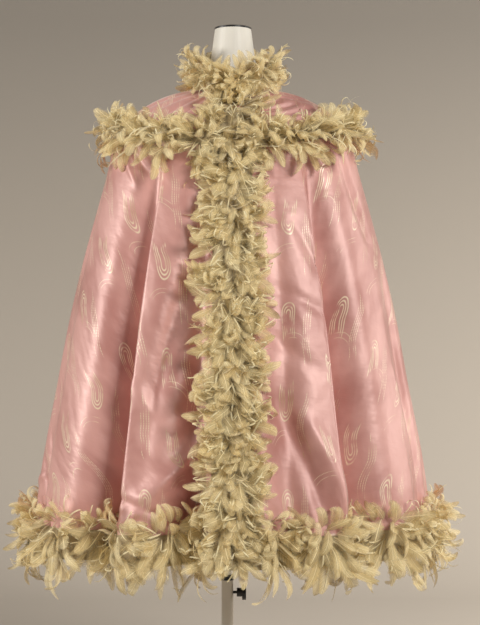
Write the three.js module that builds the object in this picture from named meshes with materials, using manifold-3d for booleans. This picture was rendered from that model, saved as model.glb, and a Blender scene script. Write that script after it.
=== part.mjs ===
// An opera cape of figured silk, edged with bands of curled feathers, worn on a limbless
// dress form whose telescopic pole stands on a round base.
// Millimetres, +Z up. The floor is Z = 0, the pole's axis is the Z axis, the wearer faces -Y.
import * as THREE from "three";
import { mergeVertices } from "three/addons/utils/BufferGeometryUtils.js";
import Module from "manifold-3d";

const wasm = await Module();
wasm.setup();

// Driving dimensions
const HEIGHT = 1500; // floor to the top of the neck cap
const FORM_X = 12; // the form hangs this far to the right of the pole's axis
const CLOTH = 2.4; // silk, interlining and silk lining, sewn as one wall
const SEAM_GAP = 0.3; // pieces stand this far apart at a seam
const TAPE = 4; // thickness of the tape that the feathers are sewn to
const FRONT_TAPE = 40; // width of the feather tape along each front edge
const TUFT_PITCH = 48; // height that one tuft takes along a front edge
const VALLEY_DEPTH = 30; // a fold deeper than this has small tufts
const BARE_DEPTH = 75; // and one deeper than this has none
const NECK_CAP = 4; // thickness of the disc on the neck
const FORM_FOOT = 770; // underside of the dress form
const FORM_SLACK = 10; // how far the yoke stands off the form's chest and back
const POLE_R = 12.5;
const POLE_TOP = 313;
const ROD_R = 9.8;
const ROD_FOOT = 200;
const SLIDE_GAP = 0.4; // between the rod and the tube that it slides in
const CLAMP_Z = 286.5; // axis of the clamp screw
const SCREW_R = 3;
const BASE_R = 210;
const BASE_THICK = 8;
const EDGE = 3; // chamfer of the base plate
const FLANGE_DEEP = 40; // height of the flange's sleeve and plate

const SILK = new THREE.MeshStandardMaterial({ color: 0xdba3a4, roughness: 0.42, metalness: 0 });
const FEATHER = new THREE.MeshStandardMaterial({ color: 0xcdbb8e, roughness: 0.8, metalness: 0 });
const FORM_COVER = new THREE.MeshStandardMaterial({ color: 0xf0ece4, roughness: 0.7, metalness: 0 });
const BLACK = new THREE.MeshStandardMaterial({ color: 0x101010, roughness: 0.5, metalness: 0 });
const PAINTED = new THREE.MeshStandardMaterial({ color: 0x9c8d74, roughness: 0.45, metalness: 0.2 });
const STEEL = new THREE.MeshStandardMaterial({ color: 0xb5b3ae, roughness: 0.3, metalness: 0.9 });

// The cloth's outer surface. run is 0 at the neck seam, 1 at the yoke seam and 2 at the hem.
// side, front and back are the distances from the form's axis to the crests of the cloth.
const SHELL = [
  { run: 0.0, side: 74, front: 70, back: 66, sideZ: 1367, frontZ: 1342, backZ: 1374 },
  { run: 0.25, side: 124, front: 92, back: 88, sideZ: 1358, frontZ: 1323, backZ: 1362 },
  { run: 0.5, side: 172, front: 114, back: 108, sideZ: 1339, frontZ: 1299, backZ: 1342 },
  { run: 0.75, side: 217, front: 135, back: 126, sideZ: 1309, frontZ: 1270, backZ: 1315 },
  { run: 1.0, side: 252, front: 154, back: 142, sideZ: 1268, frontZ: 1232, backZ: 1276 },
  { run: 1.08, side: 266, front: 170, back: 160, sideZ: 1203, frontZ: 1172, backZ: 1210 },
  { run: 1.2, side: 293, front: 202, back: 192, sideZ: 1105, frontZ: 1084, backZ: 1110 },
  { run: 1.33, side: 321, front: 232, back: 226, sideZ: 1000, frontZ: 985, backZ: 1003 },
  { run: 1.48, side: 351, front: 263, back: 261, sideZ: 870, frontZ: 861, backZ: 872 },
  { run: 1.64, side: 379, front: 292, back: 294, sideZ: 724, frontZ: 719, backZ: 725 },
  { run: 1.8, side: 406, front: 318, back: 326, sideZ: 582, frontZ: 580, backZ: 582 },
  { run: 1.92, side: 421, front: 334, back: 347, sideZ: 474, frontZ: 473, backZ: 474 },
  { run: 2.0, side: 431, front: 344, back: 360, sideZ: 388, frontZ: 386, backZ: 390 },
];

// The valleys between the hanging folds. angle is measured from the centre front towards the
// wearer's left, in degrees; the valley's bottom lies lean degrees from its middle, it
// reaches depth at the hem and fades out at the height where run is from.
const FOLDS = [
  { angle: 44.8, reach: 12.3, depth: 112, from: 1.0, lean: -6.2 },
  { angle: -45.5, reach: 13, depth: 116, from: 0.99, lean: 5.8 },
  { angle: 72, reach: 9, depth: 16, from: 1.3, lean: 0 },
  { angle: -74, reach: 9, depth: 14, from: 1.35, lean: 0 },
  { angle: 114, reach: 14, depth: 104, from: 1.0, lean: 5 },
  { angle: -117, reach: 14, depth: 98, from: 1.04, lean: -6 },
  { angle: 151, reach: 13, depth: 88, from: 1.06, lean: 4 },
  { angle: -154, reach: 13, depth: 92, from: 1.02, lean: -4 },
  { angle: -19.5, reach: 14, depth: 52, from: 1.0, lean: 7 },
  { angle: 19, reach: 10, depth: 22, from: 1.1, lean: -1 },
];
const FOLD_GROWTH = 0.85; // power of the fold's growth towards the hem

// The stand-up collar. fall is 0 at the collar's edge and 1 at the neck seam.
const COLLAR = [
  { fall: 0, side: 77, front: 77, back: 72, sideZ: 1429, frontZ: 1398, backZ: 1442 },
  { fall: 0.5, side: 74, front: 73, back: 68, sideZ: 1397, frontZ: 1370, backZ: 1408 },
  { fall: 1, side: 74, front: 70, back: 66, sideZ: 1367, frontZ: 1342, backZ: 1374 },
];

// The dress form below its shoulders, and its neck.
const TORSO = [
  { z: FORM_FOOT, side: 150, front: 100, back: 114 },
  { z: 790, side: 160, front: 105, back: 122 },
  { z: 860, side: 172, front: 110, back: 132 },
  { z: 930, side: 166, front: 106, back: 127 },
  { z: 1010, side: 134, front: 92, back: 99 },
  { z: 1085, side: 108, front: 84, back: 80 },
  { z: 1150, side: 124, front: 100, back: 86 },
  { z: 1205, side: 142, front: 122, back: 96 },
  { z: 1252, side: 153, front: 116, back: 102 },
];
const NECK = [
  { z: 1380, side: 60, front: 57, back: 58 },
  { z: 1400, side: 53, front: 53, back: 52 },
  { z: 1430, side: 48, front: 50, back: 46 },
  { z: 1462, side: 43.5, front: 47, back: 40 },
  { z: HEIGHT - NECK_CAP - SEAM_GAP, side: 39, front: 44, back: 36 },
];

// The rings of the cap on the neck: how far below the top, and how much larger than the neck.
const CAP_RINGS = [
  { below: NECK_CAP, grow: 0.6 },
  { below: 1, grow: 0.6 },
  { below: 0, grow: -1 },
];

// The form's shoulders follow the yoke. clearance is the gap to it on the shoulder ridge.
const SHOULDERS = [
  { run: 0.54, clearance: 3 },
  { run: 0.34, clearance: 0.4 },
  { run: 0.16, clearance: 0.4 },
  { run: 0.002, clearance: 4 },
];

// The feather tufts. heading is the way a tuft points, in degrees from straight down, and swing
// how far one differs in it from another. length runs along the cloth, and spread is how far
// one differs in it. rise lifts the tuft off the cloth and curl bends it back.
const TUFTS = {
  collarUp: { heading: 180, swing: 0, length: 44, spread: 8, width: 26, rise: 40, curl: 12 },
  collarDown: { heading: 0, swing: 0, length: 30, spread: 4, width: 26, rise: 50, curl: 12 },
  shoulderUp: { heading: 180, swing: 0, length: 42, spread: 12, width: 42, rise: 50, curl: 20 },
  shoulderDown: { heading: 0, swing: 7, length: 77, spread: 14, width: 27, rise: 50, curl: 26 },
  frontOuter: { heading: 70, swing: 12, length: 45, spread: 6, width: 26, rise: 31, curl: 10 },
  frontInner: { heading: 10, swing: 6, length: 38, spread: 4, width: 14, rise: 31, curl: 10 },
  hemUp: { heading: 180, swing: 0, length: 36, spread: 6, width: 32, rise: 52, curl: 16 },
  hemDown: { heading: 0, swing: 14, length: 68, spread: 12, width: 36, rise: 42, curl: 24 },
  hemValley: { heading: 0, swing: 0, length: 28, spread: 0, width: 18, rise: 18, curl: 10 },
};

// A tuft's sections between its root and its pointed tip: share of its length, half width as a
// share of its width, and half thickness.
const TUFT_RINGS = [
  { share: 0.36, half: 0.5, thick: 4 },
  { share: 0.74, half: 0.38, thick: 2.5 },
];

// Turned profiles: radius and height above the piece's own foot.
const SOCKET = [
  { radius: 46, rise: 0 },
  { radius: 46, rise: 4 },
  { radius: 24, rise: 9 },
  { radius: 20, rise: 34 },
];
const TUBE_COLLAR = [
  { radius: POLE_R + 1, rise: 0 },
  { radius: POLE_R + 1, rise: 10 },
  { radius: POLE_R - 1, rise: 12 },
];
const SCREW_TIP = ROD_R + 0.6; // the clamp screw ends just off the rod
const KNOB = [
  { radius: SCREW_R, rise: 0 },
  { radius: SCREW_R, rise: 20 - SCREW_TIP },
  { radius: 9.5, rise: 20 - SCREW_TIP },
  { radius: 9.5, rise: 31.5 - SCREW_TIP },
  { radius: 16.5, rise: 32 - SCREW_TIP },
  { radius: 16.5, rise: 39 - SCREW_TIP },
  { radius: 15.5, rise: 40 - SCREW_TIP },
];
const FLANGE = [
  { radius: 18, rise: 0 },
  { radius: 18, rise: FLANGE_DEEP - 12 },
  { radius: 52, rise: FLANGE_DEEP - 7 },
  { radius: 52, rise: FLANGE_DEEP },
];
const FLANGE_BORE = FLANGE_DEEP - 6; // depth of the flange's blind bore

const clamp01 = (value) => Math.min(1, Math.max(0, value));
const mix = (a, b, share) => a + (b - a) * share;
const turns = (degrees) => (degrees * Math.PI) / 180;
const evenly = (from, to, steps) => Array.from({ length: steps + 1 }, (_, i) => mix(from, to, i / steps));
// A repeatable number from 0 to 1, so that no two feathers are alike.
const vary = (seed) => {
  const wave = Math.sin(seed * 12.9898 + 4.1) * 43758.5453;
  return wave - Math.floor(wave);
};

// A column of a table, read as a smooth curve of the table's key column.
function read(table, key, at, column) {
  const last = table.length - 1;
  let i = 0;
  while (i < last - 1 && at > table[i + 1][key]) i += 1;
  const slope = (k) => {
    const a = table[Math.max(k - 1, 0)];
    const b = table[Math.min(k + 1, last)];
    return (b[column] - a[column]) / (b[key] - a[key]);
  };
  const span = table[i + 1][key] - table[i][key];
  const t = clamp01((at - table[i][key]) / span);
  const startPull = t * (1 - t) * (1 - t) * slope(i) * span;
  const endPull = t * t * (1 - t) * slope(i + 1) * span;
  const blend = t * t * (3 - 2 * t);
  return mix(table[i][column], table[i + 1][column], blend) + startPull - endPull;
}

// A point on an oval ring: angle 0 is the centre front.
function ovalPoint(table, key, at, angle) {
  const end = Math.cos(angle) > 0 ? "front" : "back";
  const depth = read(table, key, at, end);
  const z = mix(read(table, key, at, "sideZ"), read(table, key, at, `${end}Z`), Math.cos(angle) ** 2);
  return new THREE.Vector3(read(table, key, at, "side") * Math.sin(angle), -depth * Math.cos(angle), z);
}

function foldDepth(angle, run) {
  let total = 0;
  for (const fold of FOLDS) {
    const grown = clamp01((run - fold.from) / (2 - fold.from)) ** FOLD_GROWTH;
    const away = ((((angle * 180) / Math.PI - fold.angle) % 360) + 540) % 360 - 180;
    if (Math.abs(away) >= fold.reach) continue;
    const down = away < fold.lean
      ? (away + fold.reach) / (fold.reach + fold.lean)
      : (fold.reach - away) / (fold.reach - fold.lean);
    total += fold.depth * grown * (0.5 - 0.5 * Math.cos(Math.PI * down));
  }
  return total;
}

// A place round the cape is its angle at the hem. Beside the centre front it keeps its distance
// from the front edge at every height, and the side seams keep their gap.
const SIDE_SEAM = turns(94);
const PAST_SEAM = SIDE_SEAM + 1e-6;
const FULL_TURN = 2 * Math.PI;
const HEM_SIDE = SHELL[SHELL.length - 1].side;
const TAPE_EDGE = Math.asin(FRONT_TAPE / HEM_SIDE);
const CENTRE = SEAM_GAP / 2 / HEM_SIDE;

function capeAngle(place, run) {
  if (place > Math.PI) return FULL_TURN - capeAngle(FULL_TURN - place, run);
  if (place < 0) return -capeAngle(-place, run);
  const side = read(SHELL, "run", run, "side");
  const halfGap = SEAM_GAP / 2 / side;
  if (place < TAPE_EDGE) return Math.asin((HEM_SIDE * Math.sin(place)) / side);
  if (place <= SIDE_SEAM) {
    const share = (place - TAPE_EDGE) / (SIDE_SEAM - TAPE_EDGE);
    return mix(Math.asin(FRONT_TAPE / side), SIDE_SEAM - halfGap, share);
  }
  return mix(SIDE_SEAM + halfGap, Math.PI, (place - SIDE_SEAM) / (Math.PI - SIDE_SEAM));
}

function capePoint(place, run) {
  const angle = capeAngle(place, run);
  const p = ovalPoint(SHELL, "run", run, angle);
  const shrink = 1 - foldDepth(angle, run) / Math.hypot(p.x, p.y);
  return p.set(p.x * shrink, p.y * shrink, p.z);
}

const collarPoint = (angle, fall) => ovalPoint(COLLAR, "fall", fall, angle);

// Places at even steps of the hem's own length, so that a valley gets as many as it needs.
function hemPlaces(from, to, steps) {
  const fine = evenly(from, to, 720);
  const lengths = [0];
  for (let i = 1; i < fine.length; i += 1) {
    lengths.push(lengths[i - 1] + capePoint(fine[i], 1.9).distanceTo(capePoint(fine[i - 1], 1.9)));
  }
  return evenly(0, lengths[lengths.length - 1], steps).map((at) => {
    const i = Math.max(1, lengths.findIndex((length) => length >= at - 1e-9));
    return mix(fine[i - 1], fine[i], (at - lengths[i - 1]) / (lengths[i] - lengths[i - 1]));
  });
}

// The columns and rows of the cloth. What is sewn to a piece uses that piece's own.
const FRONT_EDGE = [CENTRE, TAPE_EDGE / 2, TAPE_EDGE];
const YOKE_FRONT = [...FRONT_EDGE, ...evenly(TAPE_EDGE, SIDE_SEAM, 10).slice(1)];
const YOKE_BACK = evenly(PAST_SEAM, FULL_TURN - PAST_SEAM, 18);
const YOKE_ROUND = [...YOKE_FRONT, ...YOKE_BACK, ...YOKE_FRONT.map((p) => FULL_TURN - p).reverse()];
const YOKE_RUNS = [...SHOULDERS.map(({ run }) => run).reverse(), 0.82, 0.91, 0.9994];
const BODY_FRONT = [...FRONT_EDGE, ...hemPlaces(TAPE_EDGE, SIDE_SEAM, 25).slice(1)];
const BODY_BACK = hemPlaces(PAST_SEAM, FULL_TURN - PAST_SEAM, 48);
const BODY_RUNS = [1.0004, 1.04, 1.12, 1.25, 1.42, 1.6, 1.78, 1.92, 1.96, 2];
const mirrored = (places) => places.map((place) => -place).reverse();
const roundFromFront = (front, back) => {
  const beyondTape = front.slice(FRONT_EDGE.length);
  return [...beyondTape, ...back, ...beyondTape.map((place) => FULL_TURN - place).reverse()];
};

// A place on a surface: its point, and its outward normal by steps of half a column and less.
const STEP_ACROSS = 0.012;
const STEP_DOWN = 0.002;

function frameAt(surface, across, down) {
  const right = surface(across + STEP_ACROSS, down).sub(surface(across - STEP_ACROSS, down));
  const below = surface(across, down + STEP_DOWN).sub(surface(across, down - STEP_DOWN));
  return { p: surface(across, down), out: new THREE.Vector3().crossVectors(below, right).normalize() };
}

const capeFrame = (place, run) => frameAt(capePoint, place, run);
const collarFrame = (angle, fall) => frameAt(collarPoint, angle, fall);

// A place on the straight line between two of the cloth's own columns or rows.
function between(list, at, frameOf) {
  let i = 0;
  while (i < list.length - 2 && at > list[i + 1]) i += 1;
  const share = (at - list[i]) / (list[i + 1] - list[i]);
  const [a, b] = [frameOf(list[i]), frameOf(list[i + 1])];
  return { p: a.p.lerp(b.p, share), out: a.out.lerp(b.out, share) };
}

// A closed mesh from points and triangles, turned to face out.
function closedGeometry(points, triangles) {
  let volume = 0;
  for (const [a, b, c] of triangles) {
    volume += points[a].dot(new THREE.Vector3().crossVectors(points[b], points[c]));
  }
  const faces = volume < 0 ? triangles.map(([a, b, c]) => [a, c, b]) : triangles;
  const geometry = new THREE.BufferGeometry().setFromPoints(points);
  geometry.setIndex(faces.flat());
  return geometry;
}

// A wall over a grid of places: its outer face stands top, and its inner face under, off the
// surface along the normals. A tuft grows out of each outer quad that grown names.
function wall(frame, acrossList, downList, top, under, grown = []) {
  const columns = acrossList.length;
  const rows = downList.length;
  const outer = [];
  const inner = [];
  for (const down of downList) {
    for (const across of acrossList) {
      const { p, out } = frame(across, down);
      outer.push(p.clone().addScaledVector(out, top));
      inner.push(p.clone().addScaledVector(out, under));
    }
  }
  const count = outer.length;
  const points = [...outer, ...inner];
  const triangles = [];
  const quad = (a, b, c, d) => triangles.push([a, b, c], [a, c, d]);
  const tufts = new Map(grown.map((one) => [one.row * columns + one.column, one]));
  for (let j = 0; j < rows - 1; j += 1) {
    for (let i = 0; i < columns - 1; i += 1) {
      const a = j * columns + i;
      const b = a + columns;
      if (tufts.has(a)) growTuft(points, triangles, [a, a + 1, b + 1, b], tufts.get(a));
      else triangles.push([a, a + 1, b + 1], [a, b + 1, b]);
      triangles.push([count + a, count + b + 1, count + a + 1], [count + a, count + b, count + b + 1]);
    }
  }
  for (let i = 0; i < columns - 1; i += 1) {
    const end = (rows - 1) * columns + i;
    quad(i + 1, i, count + i, count + i + 1);
    quad(end, end + 1, count + end + 1, count + end);
  }
  for (let j = 0; j < rows - 1; j += 1) {
    const left = j * columns;
    const right = left + columns - 1;
    quad(left, left + columns, count + left + columns, count + left);
    quad(right + columns, right, count + right, count + right + columns);
  }
  return closedGeometry(points, triangles);
}

// One feather tuft: a curved leaf of four sides from a quad of the tape to its pointed tip.
function growTuft(points, triangles, corners, { heading, length, width, rise, curl }) {
  const [a, b, c, d] = corners.map((index) => points[index]);
  const out = new THREE.Vector3().crossVectors(c.clone().sub(a), b.clone().sub(d)).normalize();
  const root = a.clone().add(b).add(c).add(d).divideScalar(4);
  const below = d.clone().add(c).sub(a).sub(b).normalize();
  const right = new THREE.Vector3().crossVectors(out, below).normalize();
  if (right.dot(b.clone().sub(a)) < 0) {
    out.negate();
    right.negate();
  }
  const turn = turns(heading);
  const along = below.multiplyScalar(Math.cos(turn)).addScaledVector(right, Math.sin(turn));
  const across = new THREE.Vector3().crossVectors(along, out).normalize();
  const centreLine = (share) => root.clone()
    .addScaledVector(along, length * share * (1 - 0.12 * share))
    .addScaledVector(out, rise * Math.sin(share * 1.9) - curl * share * share);
  // The rings' corners start at the one that lies nearest to the quad's own first corner.
  const quarters = Math.round(heading / 90);
  let ring = corners;
  for (const { share, half, thick } of TUFT_RINGS) {
    const centre = centreLine(share);
    const forward = centreLine(share + 0.05).sub(centreLine(share - 0.05)).normalize();
    const up = out.clone().multiplyScalar(forward.dot(along)).addScaledVector(along, -forward.dot(out));
    const next = [[1, 1], [-1, 1], [-1, -1], [1, -1]].map((_, k, square) => {
      const [sideways, upward] = square[(k + quarters + 8) % 4];
      const p = centre.clone().addScaledVector(across, sideways * half * width);
      return points.push(p.addScaledVector(up, upward * thick)) - 1;
    });
    joinRings(triangles, ring, next);
    ring = next;
  }
  const tip = points.push(centreLine(1)) - 1;
  ring.forEach((index, k) => triangles.push([index, ring[(k + 1) % 4], tip]));
}

function joinRings(triangles, ring, next) {
  ring.forEach((index, k) => {
    const after = (k + 1) % ring.length;
    triangles.push([index, ring[after], next[after]], [index, next[after], next[k]]);
  });
}

// A solid through closed rings of equal count, its two ends closed by flat fans.
function loft(rings) {
  const count = rings[0].length;
  const points = rings.flat();
  const triangles = [];
  for (let j = 0; j < rings.length - 1; j += 1) {
    for (let i = 0; i < count; i += 1) {
      const a = j * count + i;
      const b = j * count + ((i + 1) % count);
      triangles.push([a, b, b + count], [a, b + count, a + count]);
    }
  }
  const centre = (ring) => ring.reduce((sum, p) => sum.add(p), new THREE.Vector3()).divideScalar(count);
  const first = points.push(centre(rings[0])) - 1;
  const last = points.push(centre(rings[rings.length - 1])) - 1;
  const top = (rings.length - 1) * count;
  for (let i = 0; i < count; i += 1) {
    const next = (i + 1) % count;
    triangles.push([first, next, i], [last, top + i, top + next]);
  }
  return closedGeometry(points, triangles);
}

function toSolid(geometry) {
  const bare = geometry.clone();
  bare.deleteAttribute("normal");
  bare.deleteAttribute("uv");
  const merged = mergeVertices(bare, 1e-3);
  return new wasm.Manifold(new wasm.Mesh({
    numProp: 3,
    vertProperties: new Float32Array(merged.attributes.position.array),
    triVerts: new Uint32Array(merged.index.array),
  }));
}

function toGeometry(solid) {
  const made = solid.getMesh();
  const positions = new Float32Array(made.numVert * 3);
  for (let i = 0; i < made.numVert; i += 1) {
    positions.set(made.vertProperties.subarray(i * made.numProp, i * made.numProp + 3), i * 3);
  }
  const geometry = new THREE.BufferGeometry();
  geometry.setAttribute("position", new THREE.BufferAttribute(positions, 3));
  geometry.setIndex([...made.triVerts]);
  return geometry;
}

const feltTape = (frame, places, rows, tufts) => wall(frame, places, rows, SEAM_GAP + TAPE, SEAM_GAP, tufts);

const part = new THREE.Group();
const dressed = new THREE.Group();
dressed.position.x = FORM_X;
part.add(dressed);

function addPiece(group, name, geometry, material) {
  const mesh = new THREE.Mesh(geometry, material);
  mesh.name = name;
  group.add(mesh);
  return mesh;
}

function buildYoke() {
  const piece = (places) => wall(capeFrame, places, YOKE_RUNS, 0, -CLOTH);
  addPiece(dressed, "yoke_front_left", piece(YOKE_FRONT), SILK);
  addPiece(dressed, "yoke_front_right", piece(mirrored(YOKE_FRONT)), SILK);
  addPiece(dressed, "yoke_back", piece(YOKE_BACK), SILK);
}

// The body's top edge keeps to the straight lines between the yoke's columns.
function bodyFrame(place, run) {
  if (run > BODY_RUNS[0]) return capeFrame(place, run);
  const round = place < 0 ? place + FULL_TURN : place;
  return between(YOKE_ROUND, round, (column) => capeFrame(column, run));
}

function buildBody() {
  const piece = (places) => wall(bodyFrame, places, BODY_RUNS, 0, -CLOTH);
  addPiece(dressed, "body_front_left", piece(BODY_FRONT), SILK);
  addPiece(dressed, "body_front_right", piece(mirrored(BODY_FRONT)), SILK);
  addPiece(dressed, "body_back", piece(BODY_BACK), SILK);
}

// A tuft of a kind from the table, on the tape's quad at row and column. side mirrors it.
function tuftOf(kind, row, column, seed, side = 1) {
  const { heading, swing, length, spread, ...form } = TUFTS[kind];
  const turned = side * (heading + swing * (vary(seed) - 0.5));
  return { row, column, ...form, heading: turned, length: length + spread * (vary(seed + 0.5) - 0.5) };
}

const COLLAR_OPENING = turns(5);
const COLLAR_ANGLES = evenly(COLLAR_OPENING, FULL_TURN - COLLAR_OPENING, 26);
const COLLAR_FALLS = [0, 0.06, 0.38, 0.7, 0.994];

function buildCollar() {
  addPiece(dressed, "collar", wall(collarFrame, COLLAR_ANGLES, COLLAR_FALLS, 0, -CLOTH), SILK);

  const angles = COLLAR_ANGLES.slice(1, -1);
  const tufts = angles.slice(1).map((_, column) => (
    column % 2 === 0 ? tuftOf("collarUp", 0, column, column) : tuftOf("collarDown", 1, column, column)
  ));
  const tape = feltTape(collarFrame, angles, COLLAR_FALLS.slice(1, 4), tufts);
  addPiece(dressed, "collar_feathers", tape, FEATHER);
}

// The front tape keeps the cloth's rows, with more between them where a row is tall.
const FRONT_CLOTH_ROWS = [...YOKE_RUNS.slice(2), ...BODY_RUNS];
const edgeHeight = (a, b) => capePoint(TAPE_EDGE, a).distanceTo(capePoint(TAPE_EDGE, b));
const FRONT_ROWS = FRONT_CLOTH_ROWS.flatMap((run, k) => {
  if (k === 0) return [run];
  const before = FRONT_CLOTH_ROWS[k - 1];
  const steps = Math.max(1, Math.round(edgeHeight(before, run) / TUFT_PITCH));
  return evenly(before, run, steps).slice(1);
});
const frontFrame = (place, run) => between(FRONT_CLOTH_ROWS, run, (row) => capeFrame(place, row));

// Two tufts to a row down each front edge: one points outwards, one hangs beside the opening.
function buildFrontBands() {
  for (const [name, side] of [["left", 1], ["right", -1]]) {
    const places = side > 0 ? FRONT_EDGE : mirrored(FRONT_EDGE);
    const [innerColumn, outerColumn] = side > 0 ? [0, 1] : [1, 0];
    const tufts = [];
    for (let row = 0; row < FRONT_ROWS.length - 1; row += 1) {
      if (edgeHeight(FRONT_ROWS[row], FRONT_ROWS[row + 1]) < TUFT_PITCH * 0.6) continue;
      tufts.push(tuftOf("frontOuter", row, outerColumn, row + side, side));
      tufts.push(tuftOf("frontInner", row, innerColumn, row + 2 * side, side));
    }
    addPiece(dressed, `front_feathers_${name}`, feltTape(frontFrame, places, FRONT_ROWS, tufts), FEATHER);
  }
}

// The columns of a tape that have room for a tuft: not the narrow ones over a seam.
const roomyColumns = (places) => [...places.keys()].filter((i) => places[i + 1] - places[i] > CENTRE);

function buildShoulderBand() {
  const places = roundFromFront(YOKE_FRONT, YOKE_BACK);
  const tufts = [];
  roomyColumns(places).forEach((column, i) => {
    tufts.push(tuftOf("shoulderDown", 1, column, i));
    if (i % 2 === 1) tufts.push(tuftOf("shoulderUp", 0, column, i));
  });
  addPiece(dressed, "shoulder_feathers", feltTape(capeFrame, places, YOKE_RUNS.slice(-3), tufts), FEATHER);
}

// Round the hem, tufts that hang take turns with tufts that stand up; a valley has small ones.
function buildHemBand() {
  const places = roundFromFront(BODY_FRONT, BODY_BACK);
  const tufts = [];
  roomyColumns(places).forEach((column, i) => {
    const depth = foldDepth(capeAngle((places[column] + places[column + 1]) / 2, 2), 2);
    if (depth > BARE_DEPTH) return;
    const inValley = depth > VALLEY_DEPTH;
    if (i % 2 === 0) tufts.push(tuftOf(inValley ? "hemValley" : "hemDown", 1, column, i));
    else if (!inValley) tufts.push(tuftOf("hemUp", 0, column, i));
  });
  addPiece(dressed, "hem_feathers", feltTape(capeFrame, places, BODY_RUNS.slice(-3), tufts), FEATHER);
}

// The form's rings stand at the yoke's columns, so that its shoulders run parallel to the yoke.
function formRing(row, z, grow = 0) {
  return YOKE_ROUND.map((angle) => {
    const depth = grow + (Math.cos(angle) > 0 ? row.front : row.back);
    return new THREE.Vector3((row.side + grow) * Math.sin(angle), -depth * Math.cos(angle), z);
  });
}

function shoulderRing({ run, clearance }) {
  return YOKE_ROUND.map((place) => {
    const { p, out } = capeFrame(place, run);
    const slack = FORM_SLACK * Math.cos(capeAngle(place, run)) ** 2;
    return p.addScaledVector(out, -CLOTH - clearance - slack);
  });
}

function buildForm() {
  const torso = TORSO.map((row) => formRing(row, row.z));
  const neck = NECK.map((row) => formRing(row, row.z));
  addPiece(dressed, "dress_form", loft([...torso, ...SHOULDERS.map(shoulderRing), ...neck]), FORM_COVER);

  const top = NECK[NECK.length - 1];
  const cap = CAP_RINGS.map(({ below, grow }) => formRing(top, HEIGHT - below, grow));
  addPiece(dressed, "neck_cap", loft(cap), BLACK);
}

// A piece turned about the Z axis. Its profile closes on the axis, or on a bore of its own,
// which is blind where boreFoot is above the piece's foot.
function turned(profile, foot, segments, bore = 0, boreFoot = foot) {
  const blind = boreFoot > foot;
  const outline = profile.map(({ radius, rise }) => [radius, foot + rise]);
  outline.unshift([blind ? 0 : bore, foot]);
  outline.push([bore, outline[outline.length - 1][1]]);
  if (bore > 0) outline.push([bore, boreFoot]);
  if (blind) outline.push([0, boreFoot]);
  const points = outline.map(([radius, z]) => new THREE.Vector2(radius, z));
  return toGeometry(toSolid(new THREE.LatheGeometry(points, segments).rotateX(Math.PI / 2)));
}

function buildBase() {
  const plate = [
    { radius: BASE_R - EDGE, rise: 0 },
    { radius: BASE_R, rise: EDGE },
    { radius: BASE_R, rise: BASE_THICK - EDGE },
    { radius: BASE_R - EDGE, rise: BASE_THICK },
  ];
  addPiece(part, "base_plate", turned(plate, 0, 48), PAINTED);
  const seat = BASE_THICK + SEAM_GAP;
  addPiece(part, "base_socket", turned(SOCKET, seat, 32, POLE_R + SEAM_GAP), PAINTED);
}

function buildPole() {
  const foot = BASE_THICK + SEAM_GAP;
  const plugTop = foot + 20; // the tube is blind above its foot
  const sides = [{ radius: POLE_R, rise: 0 }, { radius: POLE_R, rise: POLE_TOP - foot }];
  const tube = turned(sides, foot, 32, ROD_R + SLIDE_GAP, plugTop);
  const holeR = SCREW_R + SLIDE_GAP;
  const hole = new THREE.CylinderGeometry(holeR, holeR, POLE_R, 16).rotateZ(Math.PI / 2);
  hole.translate(POLE_R, 0, CLAMP_Z);
  addPiece(part, "pole_tube", toGeometry(toSolid(tube).subtract(toSolid(hole))), PAINTED);

  addPiece(part, "tube_collar", turned(TUBE_COLLAR, POLE_TOP + SEAM_GAP, 32, ROD_R + SLIDE_GAP), BLACK);

  const knob = turned(KNOB, SCREW_TIP, 20).rotateY(Math.PI / 2);
  addPiece(part, "clamp_knob", knob, BLACK).position.z = CLAMP_Z;
}

function buildRod() {
  const flangeFoot = FORM_FOOT - SEAM_GAP - FLANGE_DEEP;
  const rodLength = flangeFoot + FLANGE_BORE - SEAM_GAP - ROD_FOOT;
  const rod = [
    { radius: ROD_R - 1, rise: 0 },
    { radius: ROD_R, rise: 2 },
    { radius: ROD_R, rise: rodLength },
  ];
  addPiece(part, "inner_rod", turned(rod, ROD_FOOT, 32), STEEL);
  addPiece(part, "form_flange", flange(flangeFoot), BLACK);
}

// The flange screws to the form's underside and takes the rod's end in a blind bore.
function flange(foot) {
  const boreR = ROD_R + SEAM_GAP;
  const bore = new THREE.CylinderGeometry(boreR, boreR, FLANGE_BORE * 2, 32);
  bore.rotateX(Math.PI / 2).translate(0, 0, foot);
  return toGeometry(toSolid(turned(FLANGE, foot, 32)).subtract(toSolid(bore)));
}

buildYoke();
buildBody();
buildCollar();
buildFrontBands();
buildShoulderBand();
buildHemBand();
buildForm();
buildBase();
buildPole();
buildRod();

export default part;
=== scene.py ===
"""The looks of an opera cape of figured silk with curled feather edges, on a dress form.

Everything stands in the part's own frame: metres, +Z up, the wearer faces -Y, and left is the
wearer's left, which is +X. Tables are in millimetres and degrees.
"""
import logging
import math
from dataclasses import dataclass
from enum import Enum
from typing import Callable, Sequence

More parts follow.
